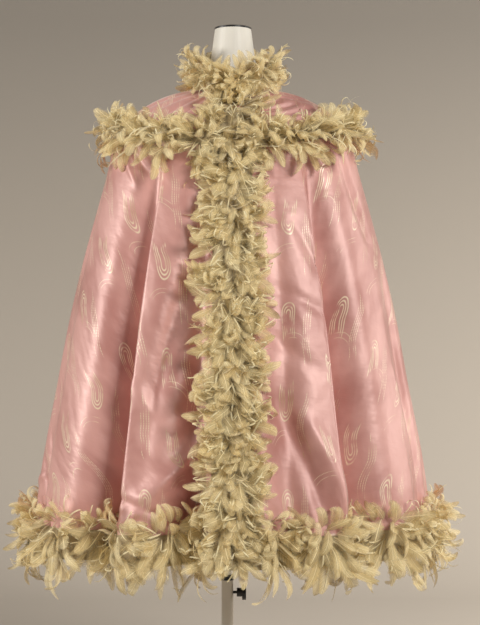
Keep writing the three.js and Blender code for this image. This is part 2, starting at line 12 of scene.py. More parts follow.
import bpy
import numpy as np
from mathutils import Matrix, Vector


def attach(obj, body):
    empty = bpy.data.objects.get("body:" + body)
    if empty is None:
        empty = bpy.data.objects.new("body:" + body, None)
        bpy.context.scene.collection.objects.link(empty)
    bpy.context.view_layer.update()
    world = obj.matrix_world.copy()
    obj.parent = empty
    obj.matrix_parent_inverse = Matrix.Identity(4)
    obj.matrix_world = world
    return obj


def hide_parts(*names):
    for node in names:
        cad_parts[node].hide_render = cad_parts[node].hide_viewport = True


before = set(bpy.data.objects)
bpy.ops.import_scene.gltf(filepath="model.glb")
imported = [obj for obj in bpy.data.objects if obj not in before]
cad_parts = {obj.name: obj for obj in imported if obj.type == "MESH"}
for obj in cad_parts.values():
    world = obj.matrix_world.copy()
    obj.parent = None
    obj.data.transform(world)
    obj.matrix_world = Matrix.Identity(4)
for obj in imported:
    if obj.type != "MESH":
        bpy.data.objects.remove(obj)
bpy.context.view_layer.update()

Places = Callable[[np.ndarray], np.ndarray]

LOG = logging.getLogger("opera_cape")
MM = 0.001
FORM_X = 12.0 * MM
SEAM_GAP = 0.3 * MM
FRONT_TAPE = 40.0 * MM
SIDE_SEAM = math.radians(94)
SEAM_SHARE = 1e-6
FULL_TURN = 2 * math.pi


# Shader building


class Graph:
    """A shader node tree with short ways to add nodes to it."""

    def __init__(self, tree: bpy.types.NodeTree) -> None:
        """Keeps the tree that the nodes go into."""
        self.tree = tree

    def node(self, kind: str, **settings: object) -> bpy.types.Node:
        """Adds a node.

        Args:
            kind: The node's Blender type.
            settings: The node's own settings, by name.

        Returns:
            The new node.
        """
        made = self.tree.nodes.new(kind)
        for name, value in settings.items():
            setattr(made, name, value)
        return made

    def feed(self, socket: bpy.types.NodeSocket, value: object) -> None:
        """Links a field or a socket to an input, or sets the input to a plain value.

        Args:
            socket: The input.
            value: The field, socket or plain value.
        """
        if isinstance(value, Field):
            value = value.socket
        if isinstance(value, bpy.types.NodeSocket):
            self.tree.links.new(value, socket)
        else:
            socket.default_value = value

    def math(self, operation: str, *values: object, clamp: bool = False) -> "Field":
        """Adds a Math node.

        Args:
            operation: The node's operation.
            values: Its inputs, each a number or a field.
            clamp: True keeps the result from 0 to 1.

        Returns:
            The result as a field.
        """
        made = self.node("ShaderNodeMath", operation=operation, use_clamp=clamp)
        for socket, value in zip(made.inputs, values):
            self.feed(socket, value)
        return Field(self, made.outputs[0])

    def steps(self, value: object, start: float, end: float) -> "Field":
        """A smooth step of a field.

        Args:
            value: The field.
            start: Where the result is 0.
            end: Where the result is 1.

        Returns:
            The result as a field.
        """
        made = self.node("ShaderNodeMapRange", interpolation_type="SMOOTHSTEP")
        for socket, given in zip(made.inputs, (value, start, end, 0.0, 1.0)):
            self.feed(socket, given)
        return Field(self, made.outputs[0])

    def noise(self, place: object, scale: float, detail: float = 2.0) -> "Field":
        """Soft noise from 0 to 1.

        Args:
            place: The vector that it varies over.
            scale: Its scale.
            detail: Its finer steps.

        Returns:
            The noise as a field.
        """
        made = self.node("ShaderNodeTexNoise")
        self.feed(made.inputs["Vector"], place)
        made.inputs["Scale"].default_value = scale
        made.inputs["Detail"].default_value = detail
        return Field(self, made.outputs[0])

    def mix(self, share: object, first: object, second: object) -> bpy.types.NodeSocket:
        """Mixes two colours.

        Args:
            share: The second colour's share.
            first: A colour or a socket.
            second: A colour or a socket.

        Returns:
            The mixed colour's socket.
        """
        made = self.node("ShaderNodeMix", data_type="RGBA")
        self.feed(made.inputs[0], share)
        self.feed(made.inputs[6], first)
        self.feed(made.inputs[7], second)
        return made.outputs[2]

    def vector(self, x: object, y: object, z: object) -> bpy.types.NodeSocket:
        """Joins three fields into a vector.

        Args:
            x: The first field or number.
            y: The second.
            z: The third.

        Returns:
            The vector's socket.
        """
        made = self.node("ShaderNodeCombineXYZ")
        for socket, value in zip(made.inputs, (x, y, z)):
            self.feed(socket, value)
        return made.outputs[0]

    def parts(self, vector: object) -> tuple["Field", "Field", "Field"]:
        """Splits a vector.

        Args:
            vector: The vector's socket.

        Returns:
            Its three fields.
        """
        made = self.node("ShaderNodeSeparateXYZ")
        self.feed(made.inputs[0], vector)
        return tuple(Field(self, out) for out in made.outputs)


class Field:
    """A number that varies over a surface."""

    def __init__(self, graph: Graph, socket: bpy.types.NodeSocket) -> None:
        """Keeps the graph that the number is in and the socket that gives it."""
        self.graph = graph
        self.socket = socket

    def __add__(self, other: object) -> "Field":
        """The sum of this field and a number or field."""
        return self.graph.math("ADD", self, other)

    def __radd__(self, other: object) -> "Field":
        """The sum of a number and this field."""
        return self.graph.math("ADD", other, self)

    def __sub__(self, other: object) -> "Field":
        """This field less a number or field."""
        return self.graph.math("SUBTRACT", self, other)

    def __rsub__(self, other: object) -> "Field":
        """A number less this field."""
        return self.graph.math("SUBTRACT", other, self)

    def __mul__(self, other: object) -> "Field":
        """The product of this field and a number or field."""
        return self.graph.math("MULTIPLY", self, other)

    def __truediv__(self, other: object) -> "Field":
        """This field divided by a number or field."""
        return self.graph.math("DIVIDE", self, other)

    def __abs__(self) -> "Field":
        """The field without its sign."""
        return self.graph.math("ABSOLUTE", self)

    def floor(self) -> "Field":
        """The whole number below."""
        return self.graph.math("FLOOR", self)

    def wrap(self, span: float) -> "Field":
        """The field wrapped to 0 ... span, also where it is negative."""
        return self.graph.math("FLOORED_MODULO", self, span)

    def least(self, other: object) -> "Field":
        """The smaller of this field and another."""
        return self.graph.math("MINIMUM", self, other)

    def most(self, other: object) -> "Field":
        """The larger of this field and another."""
        return self.graph.math("MAXIMUM", self, other)

    def sine(self) -> "Field":
        """The sine of the field in radians."""
        return self.graph.math("SINE", self)


def shader_group(name: str, inputs: Sequence[tuple[str, str]], outputs: Sequence[str]) -> Graph:
    """Starts a node group that puts out values.

    Args:
        name: The group's name.
        inputs: Names and socket types of its inputs.
        outputs: Names of its number outputs.

    Returns:
        The group's graph.
    """
    tree = bpy.data.node_groups.new(name, "ShaderNodeTree")
    for label, kind in inputs:
        tree.interface.new_socket(label, in_out="INPUT", socket_type=kind)
    for label in outputs:
        tree.interface.new_socket(label, in_out="OUTPUT", socket_type="NodeSocketFloat")
    graph = Graph(tree)
    graph.entry = graph.node("NodeGroupInput")
    graph.exit = graph.node("NodeGroupOutput")
    return graph


class Effects:
    """The shader groups that the finishes share, each built once."""

    def __init__(self) -> None:
        """Builds every group."""
        self.satin = self.satin_group()
        self.figure = self.figure_group()
        self.barbs = self.barbs_group()
        self.grain = self.grain_group()

    def satin_group(self) -> bpy.types.NodeTree:
        """Satin weave: long floats across fine ribs, and a slow drift of tone.

        Returns:
            A group with input Place, in metres, and outputs Height, Drift and Rumple.
        """
        graph = shader_group("satin_weave", [("Place", "NodeSocketVector")], ["Height", "Drift", "Rumple"])
        place = graph.entry.outputs[0]
        x, y, _ = graph.parts(place)
        floats = graph.noise(graph.vector(x * 2400, y * 300, 0.0), 1.0, 1.0)
        slub = graph.noise(graph.vector(x * 60, y * 900, 3.0), 1.0, 1.0)
        graph.feed(graph.exit.inputs["Height"], floats * 0.6 + slub * 0.4)
        graph.feed(graph.exit.inputs["Drift"], graph.noise(place, 7.0, 3.0))
        slanted = graph.vector(x * 16.0 + y * 5.0, y * 7.0 - x * 3.0, 5.0)
        small = graph.noise(graph.vector(x * 34.0, y * 85.0 + x * 20.0, 9.0), 1.0, 2.0)
        graph.feed(graph.exit.inputs["Rumple"], graph.noise(slanted, 1.0, 2.5) + small * 0.1)
        return graph.tree

    def figure_group(self) -> bpy.types.NodeTree:
        """A plain woven figure: nested arches, dashed stripes and dotted bows in a half drop.

        Returns:
            A group with input Place, in metres, and outputs Figure and Shade.
        """
        graph = shader_group("woven_figure", [("Place", "NodeSocketVector")], ["Figure", "Shade"])
        place = graph.entry.outputs[0]
        wander = graph.noise(place, 9.0, 1.0)
        sway = graph.noise(place, 14.0, 0.0)
        x, y, _ = graph.parts(place)
        x = x + sway * 0.02
        wide = 0.094
        tall = 0.19
        column = (x / wide).floor()
        shifted = y + column.wrap(2.0) * (tall * 0.5) + wander * 0.03
        row = (shifted / tall).floor()
        across = x.wrap(wide) - wide * 0.5
        along = shifted.wrap(tall) - tall * 0.5
        turned = (column + row).wrap(2.0) * 2.0 - 1.0
        arches = self.arches(graph, across + 0.012, (along - 0.03) * turned)
        stripes = self.stripes(graph, across - 0.027, along + 0.008)
        bows = self.bows(graph, (across + 0.01) * turned, along + 0.052)
        figure = arches.most(stripes).most(bows)
        worn = graph.steps(graph.noise(place, 40.0, 2.0), 0.3, 0.55)
        graph.feed(graph.exit.inputs["Figure"], figure * worn)
        graph.feed(graph.exit.inputs["Shade"], graph.noise(place, 16.0, 2.0))
        return graph.tree

    @staticmethod
    def line(graph: Graph, distance: Field, half: float) -> Field:
        """A soft line where a distance is small.

        Args:
            graph: The graph.
            distance: The distance from the line, without its sign.
            half: Half the line's width.

        Returns:
            1 on the line and 0 off it.
        """
        return 1.0 - graph.steps(distance, half * 0.7, half * 1.5)

    def arches(self, graph: Graph, x: Field, y: Field) -> Field:
        """Three arches one inside the other, with long thin legs.

        Args:
            graph: The graph.
            x: The distance to the side, in metres.
            y: The distance upwards, in metres.

        Returns:
            1 on the thread and 0 off it.
        """
        above = y.most(0.0) * 0.5
        radius = graph.math("SQRT", x * x + above * above)
        spacing = 0.0040
        ring = abs((radius + spacing * 0.5).wrap(spacing) - spacing * 0.5)
        inside = graph.steps(radius, 0.0018, 0.0024) * (1.0 - graph.steps(radius, 0.0138, 0.0142))
        reach = 1.0 - graph.steps(abs(y) - radius * 1.6, 0.012, 0.044)
        return self.line(graph, ring, 0.0008) * inside * graph.steps(reach, 0.05, 0.5)

    def stripes(self, graph: Graph, x: Field, y: Field) -> Field:
        """Four dashed upright stripes of uneven length.

        Args:
            graph: The graph.
            x: The distance to the side, in metres.
            y: The distance upwards, in metres.

        Returns:
            1 on the thread and 0 off it.
        """
        spacing = 0.0046
        number = (x / spacing).floor()
        offset = (number * 2.3).sine() * 0.016
        ring = abs(x.wrap(spacing) - spacing * 0.5)
        within = 1.0 - graph.steps(abs(x), 0.0091, 0.0094)
        length = 1.0 - graph.steps(abs(y + offset), 0.045, 0.06)
        dashes = graph.steps(abs(y.wrap(0.0052) - 0.0026), 0.0002, 0.0007)
        return self.line(graph, ring, 0.0006) * within * length * dashes

    def bows(self, graph: Graph, x: Field, y: Field) -> Field:
        """Two dotted quarter circles, one inside the other.

        Args:
            graph: The graph.
            x: The distance to the side, in metres.
            y: The distance upwards, in metres.

        Returns:
            1 on the thread and 0 off it.
        """
        radius = graph.math("SQRT", x * x + y * y)
        ring = abs((radius - 0.026).wrap(0.009) - 0.0045)
        inside = graph.steps(radius, 0.0262, 0.0266) * (1.0 - graph.steps(radius, 0.0432, 0.0438))
        turn = graph.math("ARCTAN2", y, x)
        part = graph.steps(turn, 0.35, 0.5) * (1.0 - graph.steps(turn, 1.5, 1.8))
        dots = graph.steps(abs((turn * 18.0).wrap(1.0) - 0.5), 0.12, 0.3)
        return self.line(graph, ring, 0.0007) * inside * part * dots

    def barbs_group(self) -> bpy.types.NodeTree:
        """The barbs of a feather: fine lines that sweep to its tip, split at the edge.

        Returns:
            A group with inputs Place, from 0 to 1 across and along the feather, and Kind,
            whose X is the feather's own tone and Y how downy it is, and outputs Lines, Cover,
            Edge and Quill.
        """
        sockets = [("Place", "NodeSocketVector"), ("Kind", "NodeSocketVector")]
        graph = shader_group("feather_barbs", sockets, ["Lines", "Cover", "Edge", "Quill"])
        u, v, _ = graph.parts(graph.entry.outputs[0])
        tone, downy, _ = graph.parts(graph.entry.outputs[1])
        edge = abs(u * 2.0 - 1.0)
        sweep = v - edge * 0.22
        lines = graph.noise(graph.vector(sweep * 46.0, tone * 90.0, u.floor()), 1.0, 2.0)
        splits = graph.noise(graph.vector(sweep * 26.0, tone * 50.0 + 7.0, edge * 0.8), 1.0, 2.0)
        fray = edge + downy * 0.8 - splits * 0.5 + (1.0 - graph.steps(v, 0.0, 0.3)) * 0.2
        cover = 1.0 - graph.steps(fray, 0.42, 0.84 + downy * 0.5)
        graph.feed(graph.exit.inputs["Lines"], lines)
        graph.feed(graph.exit.inputs["Cover"], cover)
        graph.feed(graph.exit.inputs["Edge"], edge)
        graph.feed(graph.exit.inputs["Quill"], 1.0 - graph.steps(edge, 0.02, 0.09))
        return graph.tree

    def grain_group(self) -> bpy.types.NodeTree:
        """Fine grain and large soft patches, for paint, plastic, steel and cotton.

        Returns:
            A group with inputs Place and Fineness, and outputs Grain and Patches.
        """
        sockets = [("Place", "NodeSocketVector"), ("Fineness", "NodeSocketFloat")]
        graph = shader_group("surface_grain", sockets, ["Grain", "Patches"])
        place = graph.entry.outputs["Place"]
        fineness = graph.entry.outputs["Fineness"]
        fine = graph.node("ShaderNodeTexNoise")
        graph.feed(fine.inputs["Vector"], place)
        graph.feed(fine.inputs["Scale"], fineness)
        graph.feed(graph.exit.inputs["Grain"], fine.outputs[0])
        graph.feed(graph.exit.inputs["Patches"], graph.noise(place, 9.0, 3.0))
        return graph.tree


# Finishes


class Figured(Enum):
    """Whether a silk has the woven figure."""

    PLAIN = "plain"
    FIGURED = "figured"


class Finish:
    """What every finish shares: a material with one Principled shader."""

    name: str

    def start(self) -> tuple[bpy.types.Material, Graph, bpy.types.Node]:
        """Starts the material.

        Returns:
            The material, its graph and its Principled shader.
        """
        material = bpy.data.materials.new(self.name)
        material.use_nodes = True
        tree = material.node_tree
        tree.nodes.clear()
        graph = Graph(tree)
        shader = graph.node("ShaderNodeBsdfPrincipled")
        output = graph.node("ShaderNodeOutputMaterial")
        tree.links.new(shader.outputs[0], output.inputs[0])
        return material, graph, shader

    @staticmethod
    def bump(graph: Graph, shader: bpy.types.Node, height: object, strength: float, depth: float) -> None:
        """Adds a bump to the shader.

        Args:
            graph: The graph.
            shader: The Principled shader.
            height: The height from 0 to 1.
            strength: The bump's strength.
            depth: The height that 1 stands for, in metres.
        """
        made = graph.node("ShaderNodeBump")
        made.inputs["Strength"].default_value = strength
        made.inputs["Distance"].default_value = depth
        graph.feed(made.inputs["Height"], height)
        graph.feed(shader.inputs["Normal"], made.outputs[0])


@dataclass(frozen=True)
class Silk(Finish):
    """Satin-woven silk, plain or with a figure in cream and gold thread."""

    name: str
    light: tuple[float, float, float, float]
    deep: tuple[float, float, float, float]
    figured: Figured
    lustre: float = 0.1
    roughness: float = 0.51
    sheen: float = 0.6
    rumple_depth: float = 0.0055
    thread: tuple[float, float, float, float] = (0.92, 0.78, 0.56, 1)
    dark_thread: tuple[float, float, float, float] = (0.50, 0.31, 0.15, 1)

    def make(self, effects: Effects) -> bpy.types.Material:
        """Builds the material.

        Args:
            effects: The shared shader groups.

        Returns:
            The material.
        """
        material, graph, shader = self.start()
        place = graph.node("ShaderNodeUVMap", uv_map="Cloth").outputs[0]
        satin = graph.node("ShaderNodeGroup", node_tree=effects.satin)
        graph.feed(satin.inputs[0], place)
        height = Field(graph, satin.outputs["Height"])
        drift = Field(graph, satin.outputs["Drift"])
        colour = graph.mix(graph.steps(drift, 0.38, 0.66), self.light, self.deep)
        rough = self.roughness - height * 0.08
        if self.figured is Figured.FIGURED:
            woven = graph.node("ShaderNodeGroup", node_tree=effects.figure)
            graph.feed(woven.inputs[0], place)
            figure = Field(graph, woven.outputs["Figure"])
            shade = graph.steps(Field(graph, woven.outputs["Shade"]), 0.5, 0.7)
            gold = graph.mix(shade, self.thread, self.dark_thread)
            colour = graph.mix(figure * 0.8, colour, gold)
            height = height * (1.0 - figure * 0.5) + figure * 0.8
            rough = rough - figure * 0.06
        shader.inputs["Metallic"].default_value = self.lustre
        graph.feed(shader.inputs["Base Color"], colour)
        graph.feed(shader.inputs["Roughness"], rough)
        shader.inputs["Specular IOR Level"].default_value = 1.0
        shader.inputs["Sheen Weight"].default_value = self.sheen
        shader.inputs["Sheen Roughness"].default_value = 0.42
        shader.inputs["Sheen Tint"].default_value = (1.0, 0.86, 0.82, 1)
        rumple = Field(graph, satin.outputs["Rumple"])
        self.bump(graph, shader, height * 0.012 + rumple, 1.0, self.rumple_depth)
        return material


@dataclass(frozen=True)
class Plume(Finish):
    """Curled cream feathers with pale quills and downy edges, painted darker towards their roots as shade.
    """

    name: str = "curled_feather"
    # root is painted shade: the darker colour where the feathers shade each other at their roots
    root: tuple[float, float, float, float] = (0.50, 0.365, 0.145, 1)
    vane: tuple[float, float, float, float] = (0.79, 0.615, 0.295, 1)
    pale: tuple[float, float, float, float] = (0.98, 0.89, 0.59, 1)

    def make(self, effects: Effects) -> bpy.types.Material:
        """Builds the material.

        Args:
            effects: The shared shader groups.

        Returns:
            The material.
        """
        material, graph, shader = self.start()
        place = graph.node("ShaderNodeUVMap", uv_map="Vane").outputs[0]
        kind = graph.node("ShaderNodeUVMap", uv_map="Kind").outputs[0]
        barbs = graph.node("ShaderNodeGroup", node_tree=effects.barbs)
        graph.feed(barbs.inputs["Place"], place)
        graph.feed(barbs.inputs["Kind"], kind)
        lines, cover, edge, quill = (Field(graph, out) for out in barbs.outputs)
        _, along, _ = graph.parts(place)
        tone, downy, _ = graph.parts(kind)
        # painted shade: each feather darkens from its vane towards its root
        colour = graph.mix(graph.steps(along, -0.1, 0.6), self.root, self.vane)
        colour = graph.mix((graph.steps(lines, 0.4, 0.75) * 0.16 + tone * 0.3).least(1.0), colour, self.pale)
        rim = graph.steps(edge, 0.72, 0.9) * 0.75
        colour = graph.mix(rim.most(quill * 0.4), colour, self.pale)
        graph.feed(shader.inputs["Base Color"], colour)
        graph.feed(shader.inputs["Roughness"], 0.62 - lines * 0.12)
        sheer = 0.95 - downy * 0.5 - (1.0 - graph.steps(lines, 0.35, 0.65)) * 0.25
        graph.feed(shader.inputs["Alpha"], (cover * sheer).most(quill))
        shader.inputs["Specular IOR Level"].default_value = 0.3
        shader.inputs["Sheen Weight"].default_value = 0.4
        shader.inputs["Sheen Roughness"].default_value = 0.5
        self.bump(graph, shader, lines + quill, 0.2, 0.0003)
        return material


@dataclass(frozen=True)
class Plain(Finish):
    """Paint, plastic, steel or cotton: one colour that drifts, with a fine grain."""

    name: str
    colour: tuple[float, float, float, float]
    worn: tuple[float, float, float, float]
    roughness: float
    metallic: float = 0.0
    fineness: float = 900.0
    relief: float = 0.15
    stretch: tuple[float, float, float] = (1.0, 1.0, 1.0)

    def make(self, effects: Effects) -> bpy.types.Material:
        """Builds the material.

        Args:
            effects: The shared shader groups.

        Returns:
            The material.
        """
        material, graph, shader = self.start()
        coordinates = graph.node("ShaderNodeTexCoord").outputs["Object"]
        scaled = graph.node("ShaderNodeMapping", vector_type="POINT")
        graph.feed(scaled.inputs["Vector"], coordinates)
        scaled.inputs["Scale"].default_value = self.stretch
        grain = graph.node("ShaderNodeGroup", node_tree=effects.grain)
        graph.feed(grain.inputs["Place"], scaled.outputs[0])
        grain.inputs["Fineness"].default_value = self.fineness
        fine, patches = (Field(graph, out) for out in grain.outputs)
        wear = graph.steps(patches, 0.4, 0.75)
        graph.feed(shader.inputs["Base Color"], graph.mix(wear, self.colour, self.worn))
        graph.feed(shader.inputs["Roughness"], patches * 0.1 + fine * 0.08 + (self.roughness - 0.09))
        shader.inputs["Metallic"].default_value = self.metallic
        self.bump(graph, shader, fine, self.relief, 0.0002)
        return material


SILK = Silk("pink_figured_silk", (0.71, 0.375, 0.335, 1), (0.52, 0.23, 0.2, 1), Figured.FIGURED)
LINING = Silk("pale_silk_lining", (0.74, 0.62, 0.53, 1), (0.66, 0.54, 0.46, 1), Figured.PLAIN)
FEATHER = Plume()
TAPE = Plain("cotton_tape", (0.52, 0.42, 0.26, 1), (0.44, 0.35, 0.2, 1), 0.85, relief=0.4)
COVER = Plain("painted_form", (0.80, 0.77, 0.70, 1), (0.76, 0.72, 0.64, 1), 0.5, fineness=500.0)
BLACK = Plain("black_plastic", (0.014, 0.013, 0.013, 1), (0.03, 0.028, 0.027, 1), 0.42)
PAINT = Plain("pale_beige_paint", (0.74, 0.69, 0.60, 1), (0.66, 0.61, 0.52, 1), 0.4, 0.15, 700.0)
STEEL = Plain(
    "brushed_steel", (0.60, 0.59, 0.57, 1), (0.5, 0.49, 0.47, 1), 0.3, 0.95, 600.0, 0.2, (1, 1, 0.02)
)


# Surfaces


@dataclass(frozen=True)
class Ring:
    """One level of an oval surface: its key, its half sizes and its heights."""

    at: float
    side: float
    front: float
    back: float
    side_z: float
    front_z: float
    back_z: float


@dataclass(frozen=True)
class Fold:
    """A valley between hanging folds: where it lies, its reach to each side and its depth."""

    angle: float
    reach: float
    depth: float
    start: float
    lean: float


@dataclass(frozen=True)
class Crease:
    """A soft trough along a line on the cloth, or a ridge where depth is negative.

    Both ends are an angle round the cape and a run down it. bow moves its middle sideways.
    """

    angle: float
    run: float
    end_angle: float
    end_run: float
    width: float
    depth: float
    bow: float = 0.0


SHELL = (
    Ring(0.0, 74, 70, 66, 1367, 1342, 1374),
    Ring(0.25, 124, 92, 88, 1358, 1323, 1362),
    Ring(0.5, 172, 114, 108, 1339, 1299, 1342),
    Ring(0.75, 217, 135, 126, 1309, 1270, 1315),
    Ring(1.0, 252, 154, 142, 1268, 1232, 1276),
    Ring(1.08, 266, 170, 160, 1203, 1172, 1210),
    Ring(1.2, 293, 202, 192, 1105, 1084, 1110),
    Ring(1.33, 321, 232, 226, 1000, 985, 1003),
    Ring(1.48, 351, 263, 261, 870, 861, 872),
    Ring(1.64, 379, 292, 294, 724, 719, 725),
    Ring(1.8, 406, 318, 326, 582, 580, 582),
    Ring(1.92, 421, 334, 347, 474, 473, 474),
    Ring(2.0, 431, 344, 360, 388, 386, 390),
)
COLLAR = (
    Ring(0.0, 77, 77, 72, 1429, 1398, 1442),
    Ring(0.5, 74, 73, 68, 1397, 1370, 1408),
    Ring(1.0, 74, 70, 66, 1367, 1342, 1374),
)
FOLDS = (
    Fold(44.8, 12.3, 120, 1.0, -6.6),
    Fold(-45.5, 13, 128, 1.0, 6.6),
    Fold(72, 9, 16, 1.3, 0),
    Fold(-74, 9, 14, 1.35, 0),
    Fold(114, 14, 104, 1.0, 5),
    Fold(-117, 14, 98, 1.04, -6),
    Fold(151, 13, 88, 1.06, 4),
    Fold(-154, 13, 92, 1.02, -4),
    Fold(-19.5, 14, 78, 1.0, 7),
    Fold(19, 10.5, 30, 1.1, -2),
)
# powers of a valley's growth towards the hem, and of the fall of its wide and its narrow side
FOLD_GROWTH = 0.85
LATE_FALL = 2.1
EARLY_FALL = 0.75
CREASES = (
    # the wearer's right front, which is on the photo's left
    Crease(-60, 1.02, -42, 1.1, 9, 7, 2),
    Crease(-62, 1.05, -46, 1.14, 7, -5, 2),
    Crease(-14, 1.3, -27, 1.86, 28, 18, -3),
    Crease(-29, 1.9, -8, 1.68, 17, -17, 2),
    Crease(-24, 1.99, -9, 1.8, 20, 12, 2),
    Crease(-33, 1.6, -22, 1.72, 16, -8, 0),
    Crease(-38, 1.86, -14, 1.92, 9, 5, 0),
    Crease(-37, 1.95, -22, 1.88, 8, -5, 0),
    Crease(-30, 1.9, -24, 2.0, 7, 4, 0),
    Crease(-20, 1.9, -26, 2.0, 7, 4, 0),
    Crease(-88, 1.75, -70, 1.97, 8, 4, 3),
    Crease(-80, 1.72, -62, 1.93, 7, 4, -2),
    Crease(-92, 1.88, -72, 1.82, 7, -4, 0),
    Crease(-84, 1.1, -78, 1.45, 16, 7, 0),
    # the wearer's left front
    Crease(11, 1.6, 28, 1.97, 20, 13, 2),
    Crease(20, 1.66, 34, 1.93, 17, -11, 2),
    Crease(8, 1.8, 20, 2.0, 14, -7, 0),
    Crease(24, 1.2, 38, 1.42, 14, 6, 0),
    Crease(12, 1.38, 34, 1.46, 12, 5, 2),
    Crease(10, 1.48, 30, 1.6, 14, 5, 0),
    Crease(60, 1.04, 66, 1.3, 14, 7, 0),
    Crease(76, 1.3, 70, 1.75, 18, 7, 1),
    Crease(88, 1.5, 80, 1.95, 14, 6, 0),
    Crease(62, 1.55, 72, 1.9, 12, -5, 0),
    # the back and sides, which the photo hides
    Crease(100, 1.1, 104, 1.6, 18, 7, 0),
    Crease(132, 1.2, 128, 1.8, 20, 8, 1),
    Crease(166, 1.05, 172, 1.5, 18, 6, 0),
    Crease(176, 1.5, 182, 1.98, 22, 8, 2),
    Crease(196, 1.1, 190, 1.55, 18, 6, 0),
    Crease(226, 1.15, 222, 1.7, 20, 8, -1),
    Crease(252, 1.2, 256, 1.75, 18, 7, 0),
    Crease(134, 1.85, 122, 1.96, 9, 5, 0),
    Crease(168, 1.9, 184, 1.82, 10, 5, 1),
    Crease(232, 1.9, 220, 1.8, 9, 5, 0),
    Crease(262, 1.95, 250, 1.84, 8, 4, 0),
    # the yoke: a fan of fine ones on the wearer's right, stacked ones on their left
    Crease(-26, 0.12, -28, 0.8, 5, 4.2, 2),
    Crease(-34, 0.1, -38, 0.8, 5, 4.4, 2),
    Crease(-42, 0.08, -50, 0.82, 6, 4.6, 2),
    Crease(-52, 0.12, -62, 0.75, 5, 3.8, 1),
    Crease(-64, 0.15, -76, 0.75, 6, 4.2, 0),
    Crease(20, 0.24, 50, 0.32, 7, 8, 3),
    Crease(20, 0.4, 58, 0.46, 8, 9.5, 3),
    Crease(22, 0.56, 64, 0.58, 8, 9, 2),
    Crease(26, 0.7, 70, 0.7, 7, 7.5, 2),
    Crease(48, 0.14, 74, 0.5, 6, 5.8, 0),
    Crease(58, 0.1, 84, 0.5, 6, 4.0, 0),
    Crease(140, 0.2, 150, 0.75, 6, 2.6, 0),
    Crease(180, 0.3, 182, 0.8, 7, 2.4, 0),
    Crease(216, 0.2, 206, 0.75, 6, 2.6, 0),
)


class Oval:
    """A surface of oval rings, read as a smooth curve of their key."""

    def __init__(self, rings: Sequence[Ring]) -> None:
        """Keeps the rings as columns."""
        self.at = np.array([ring.at for ring in rings])
        names = ("side", "front", "back", "side_z", "front_z", "back_z")
        self.columns = {name: np.array([getattr(ring, name) for ring in rings]) for name in names}

    def column(self, name: str, at: np.ndarray) -> np.ndarray:
        """Reads a column.

        Args:
            name: The column's name.
            at: The keys to read it at.

        Returns:
            The column's values there, in metres.
        """
        keys, values = self.at, self.columns[name]
        last = len(keys) - 1
        i = np.clip(np.searchsorted(keys, at, side="right") - 1, 0, last - 1)
        before = np.clip(np.arange(last + 1) - 1, 0, last)
        after = np.clip(np.arange(last + 1) + 1, 0, last)
        slopes = (values[after] - values[before]) / (keys[after] - keys[before])
        span = keys[i + 1] - keys[i]
        t = np.clip((at - keys[i]) / span, 0, 1)
        blend = t * t * (3 - 2 * t)
        pull = t * (1 - t) ** 2 * slopes[i] * span - t * t * (1 - t) * slopes[i + 1] * span
        return (values[i] + (values[i + 1] - values[i]) * blend + pull) * MM

    def on_ring(self, angle: np.ndarray, at: np.ndarray) -> np.ndarray:
        """Points on the rings, where angle 0 is the centre front.

        Args:
            angle: Angles in radians.
            at: Keys of the rings, of the same shape.

        Returns:
            The points, in metres.
        """
        cosine, sine = np.cos(angle), np.sin(angle)
        ahead = cosine > 0
        depth = np.where(ahead, self.column("front", at), self.column("back", at))
        end_z = np.where(ahead, self.column("front_z", at), self.column("back_z", at))
        side_z = self.column("side_z", at)
        z = side_z + (end_z - side_z) * cosine**2
        return np.stack([self.column("side", at) * sine, -depth * cosine, z], axis=-1)

    def point(self, across: np.ndarray, down: np.ndarray) -> np.ndarray:
        """Points of the surface in the part's frame."""
        return self.on_ring(across, down) + np.array([FORM_X, 0, 0])

    def frame(self, across: np.ndarray, down: np.ndarray) -> "Frames":
        """Points of the surface with their directions.

        Args:
            across: Places round the surface.
            down: Places down it, of the same shape.

        Returns:
            The points, and unit vectors along the ring, down the surface and out of it.
        """
        across, down = np.broadcast_arrays(np.asarray(across, float), np.asarray(down, float))
        along = unit(self.point(across + 0.004, down) - self.point(across - 0.004, down))
        below = unit(self.point(across, down + 0.003) - self.point(across, down - 0.003))
        out = unit(np.cross(below, along))
        return Frames(self.point(across, down), along, unit(np.cross(along, out)), out)


@dataclass
class Frames:
    """Points with three unit vectors at each: along the ring, down the cloth and out of it."""

    point: np.ndarray
    along: np.ndarray
    below: np.ndarray
    out: np.ndarray


def unit(vectors: np.ndarray) -> np.ndarray:
    """The vectors at length 1."""
    return vectors / np.maximum(np.linalg.norm(vectors, axis=-1, keepdims=True), 1e-12)


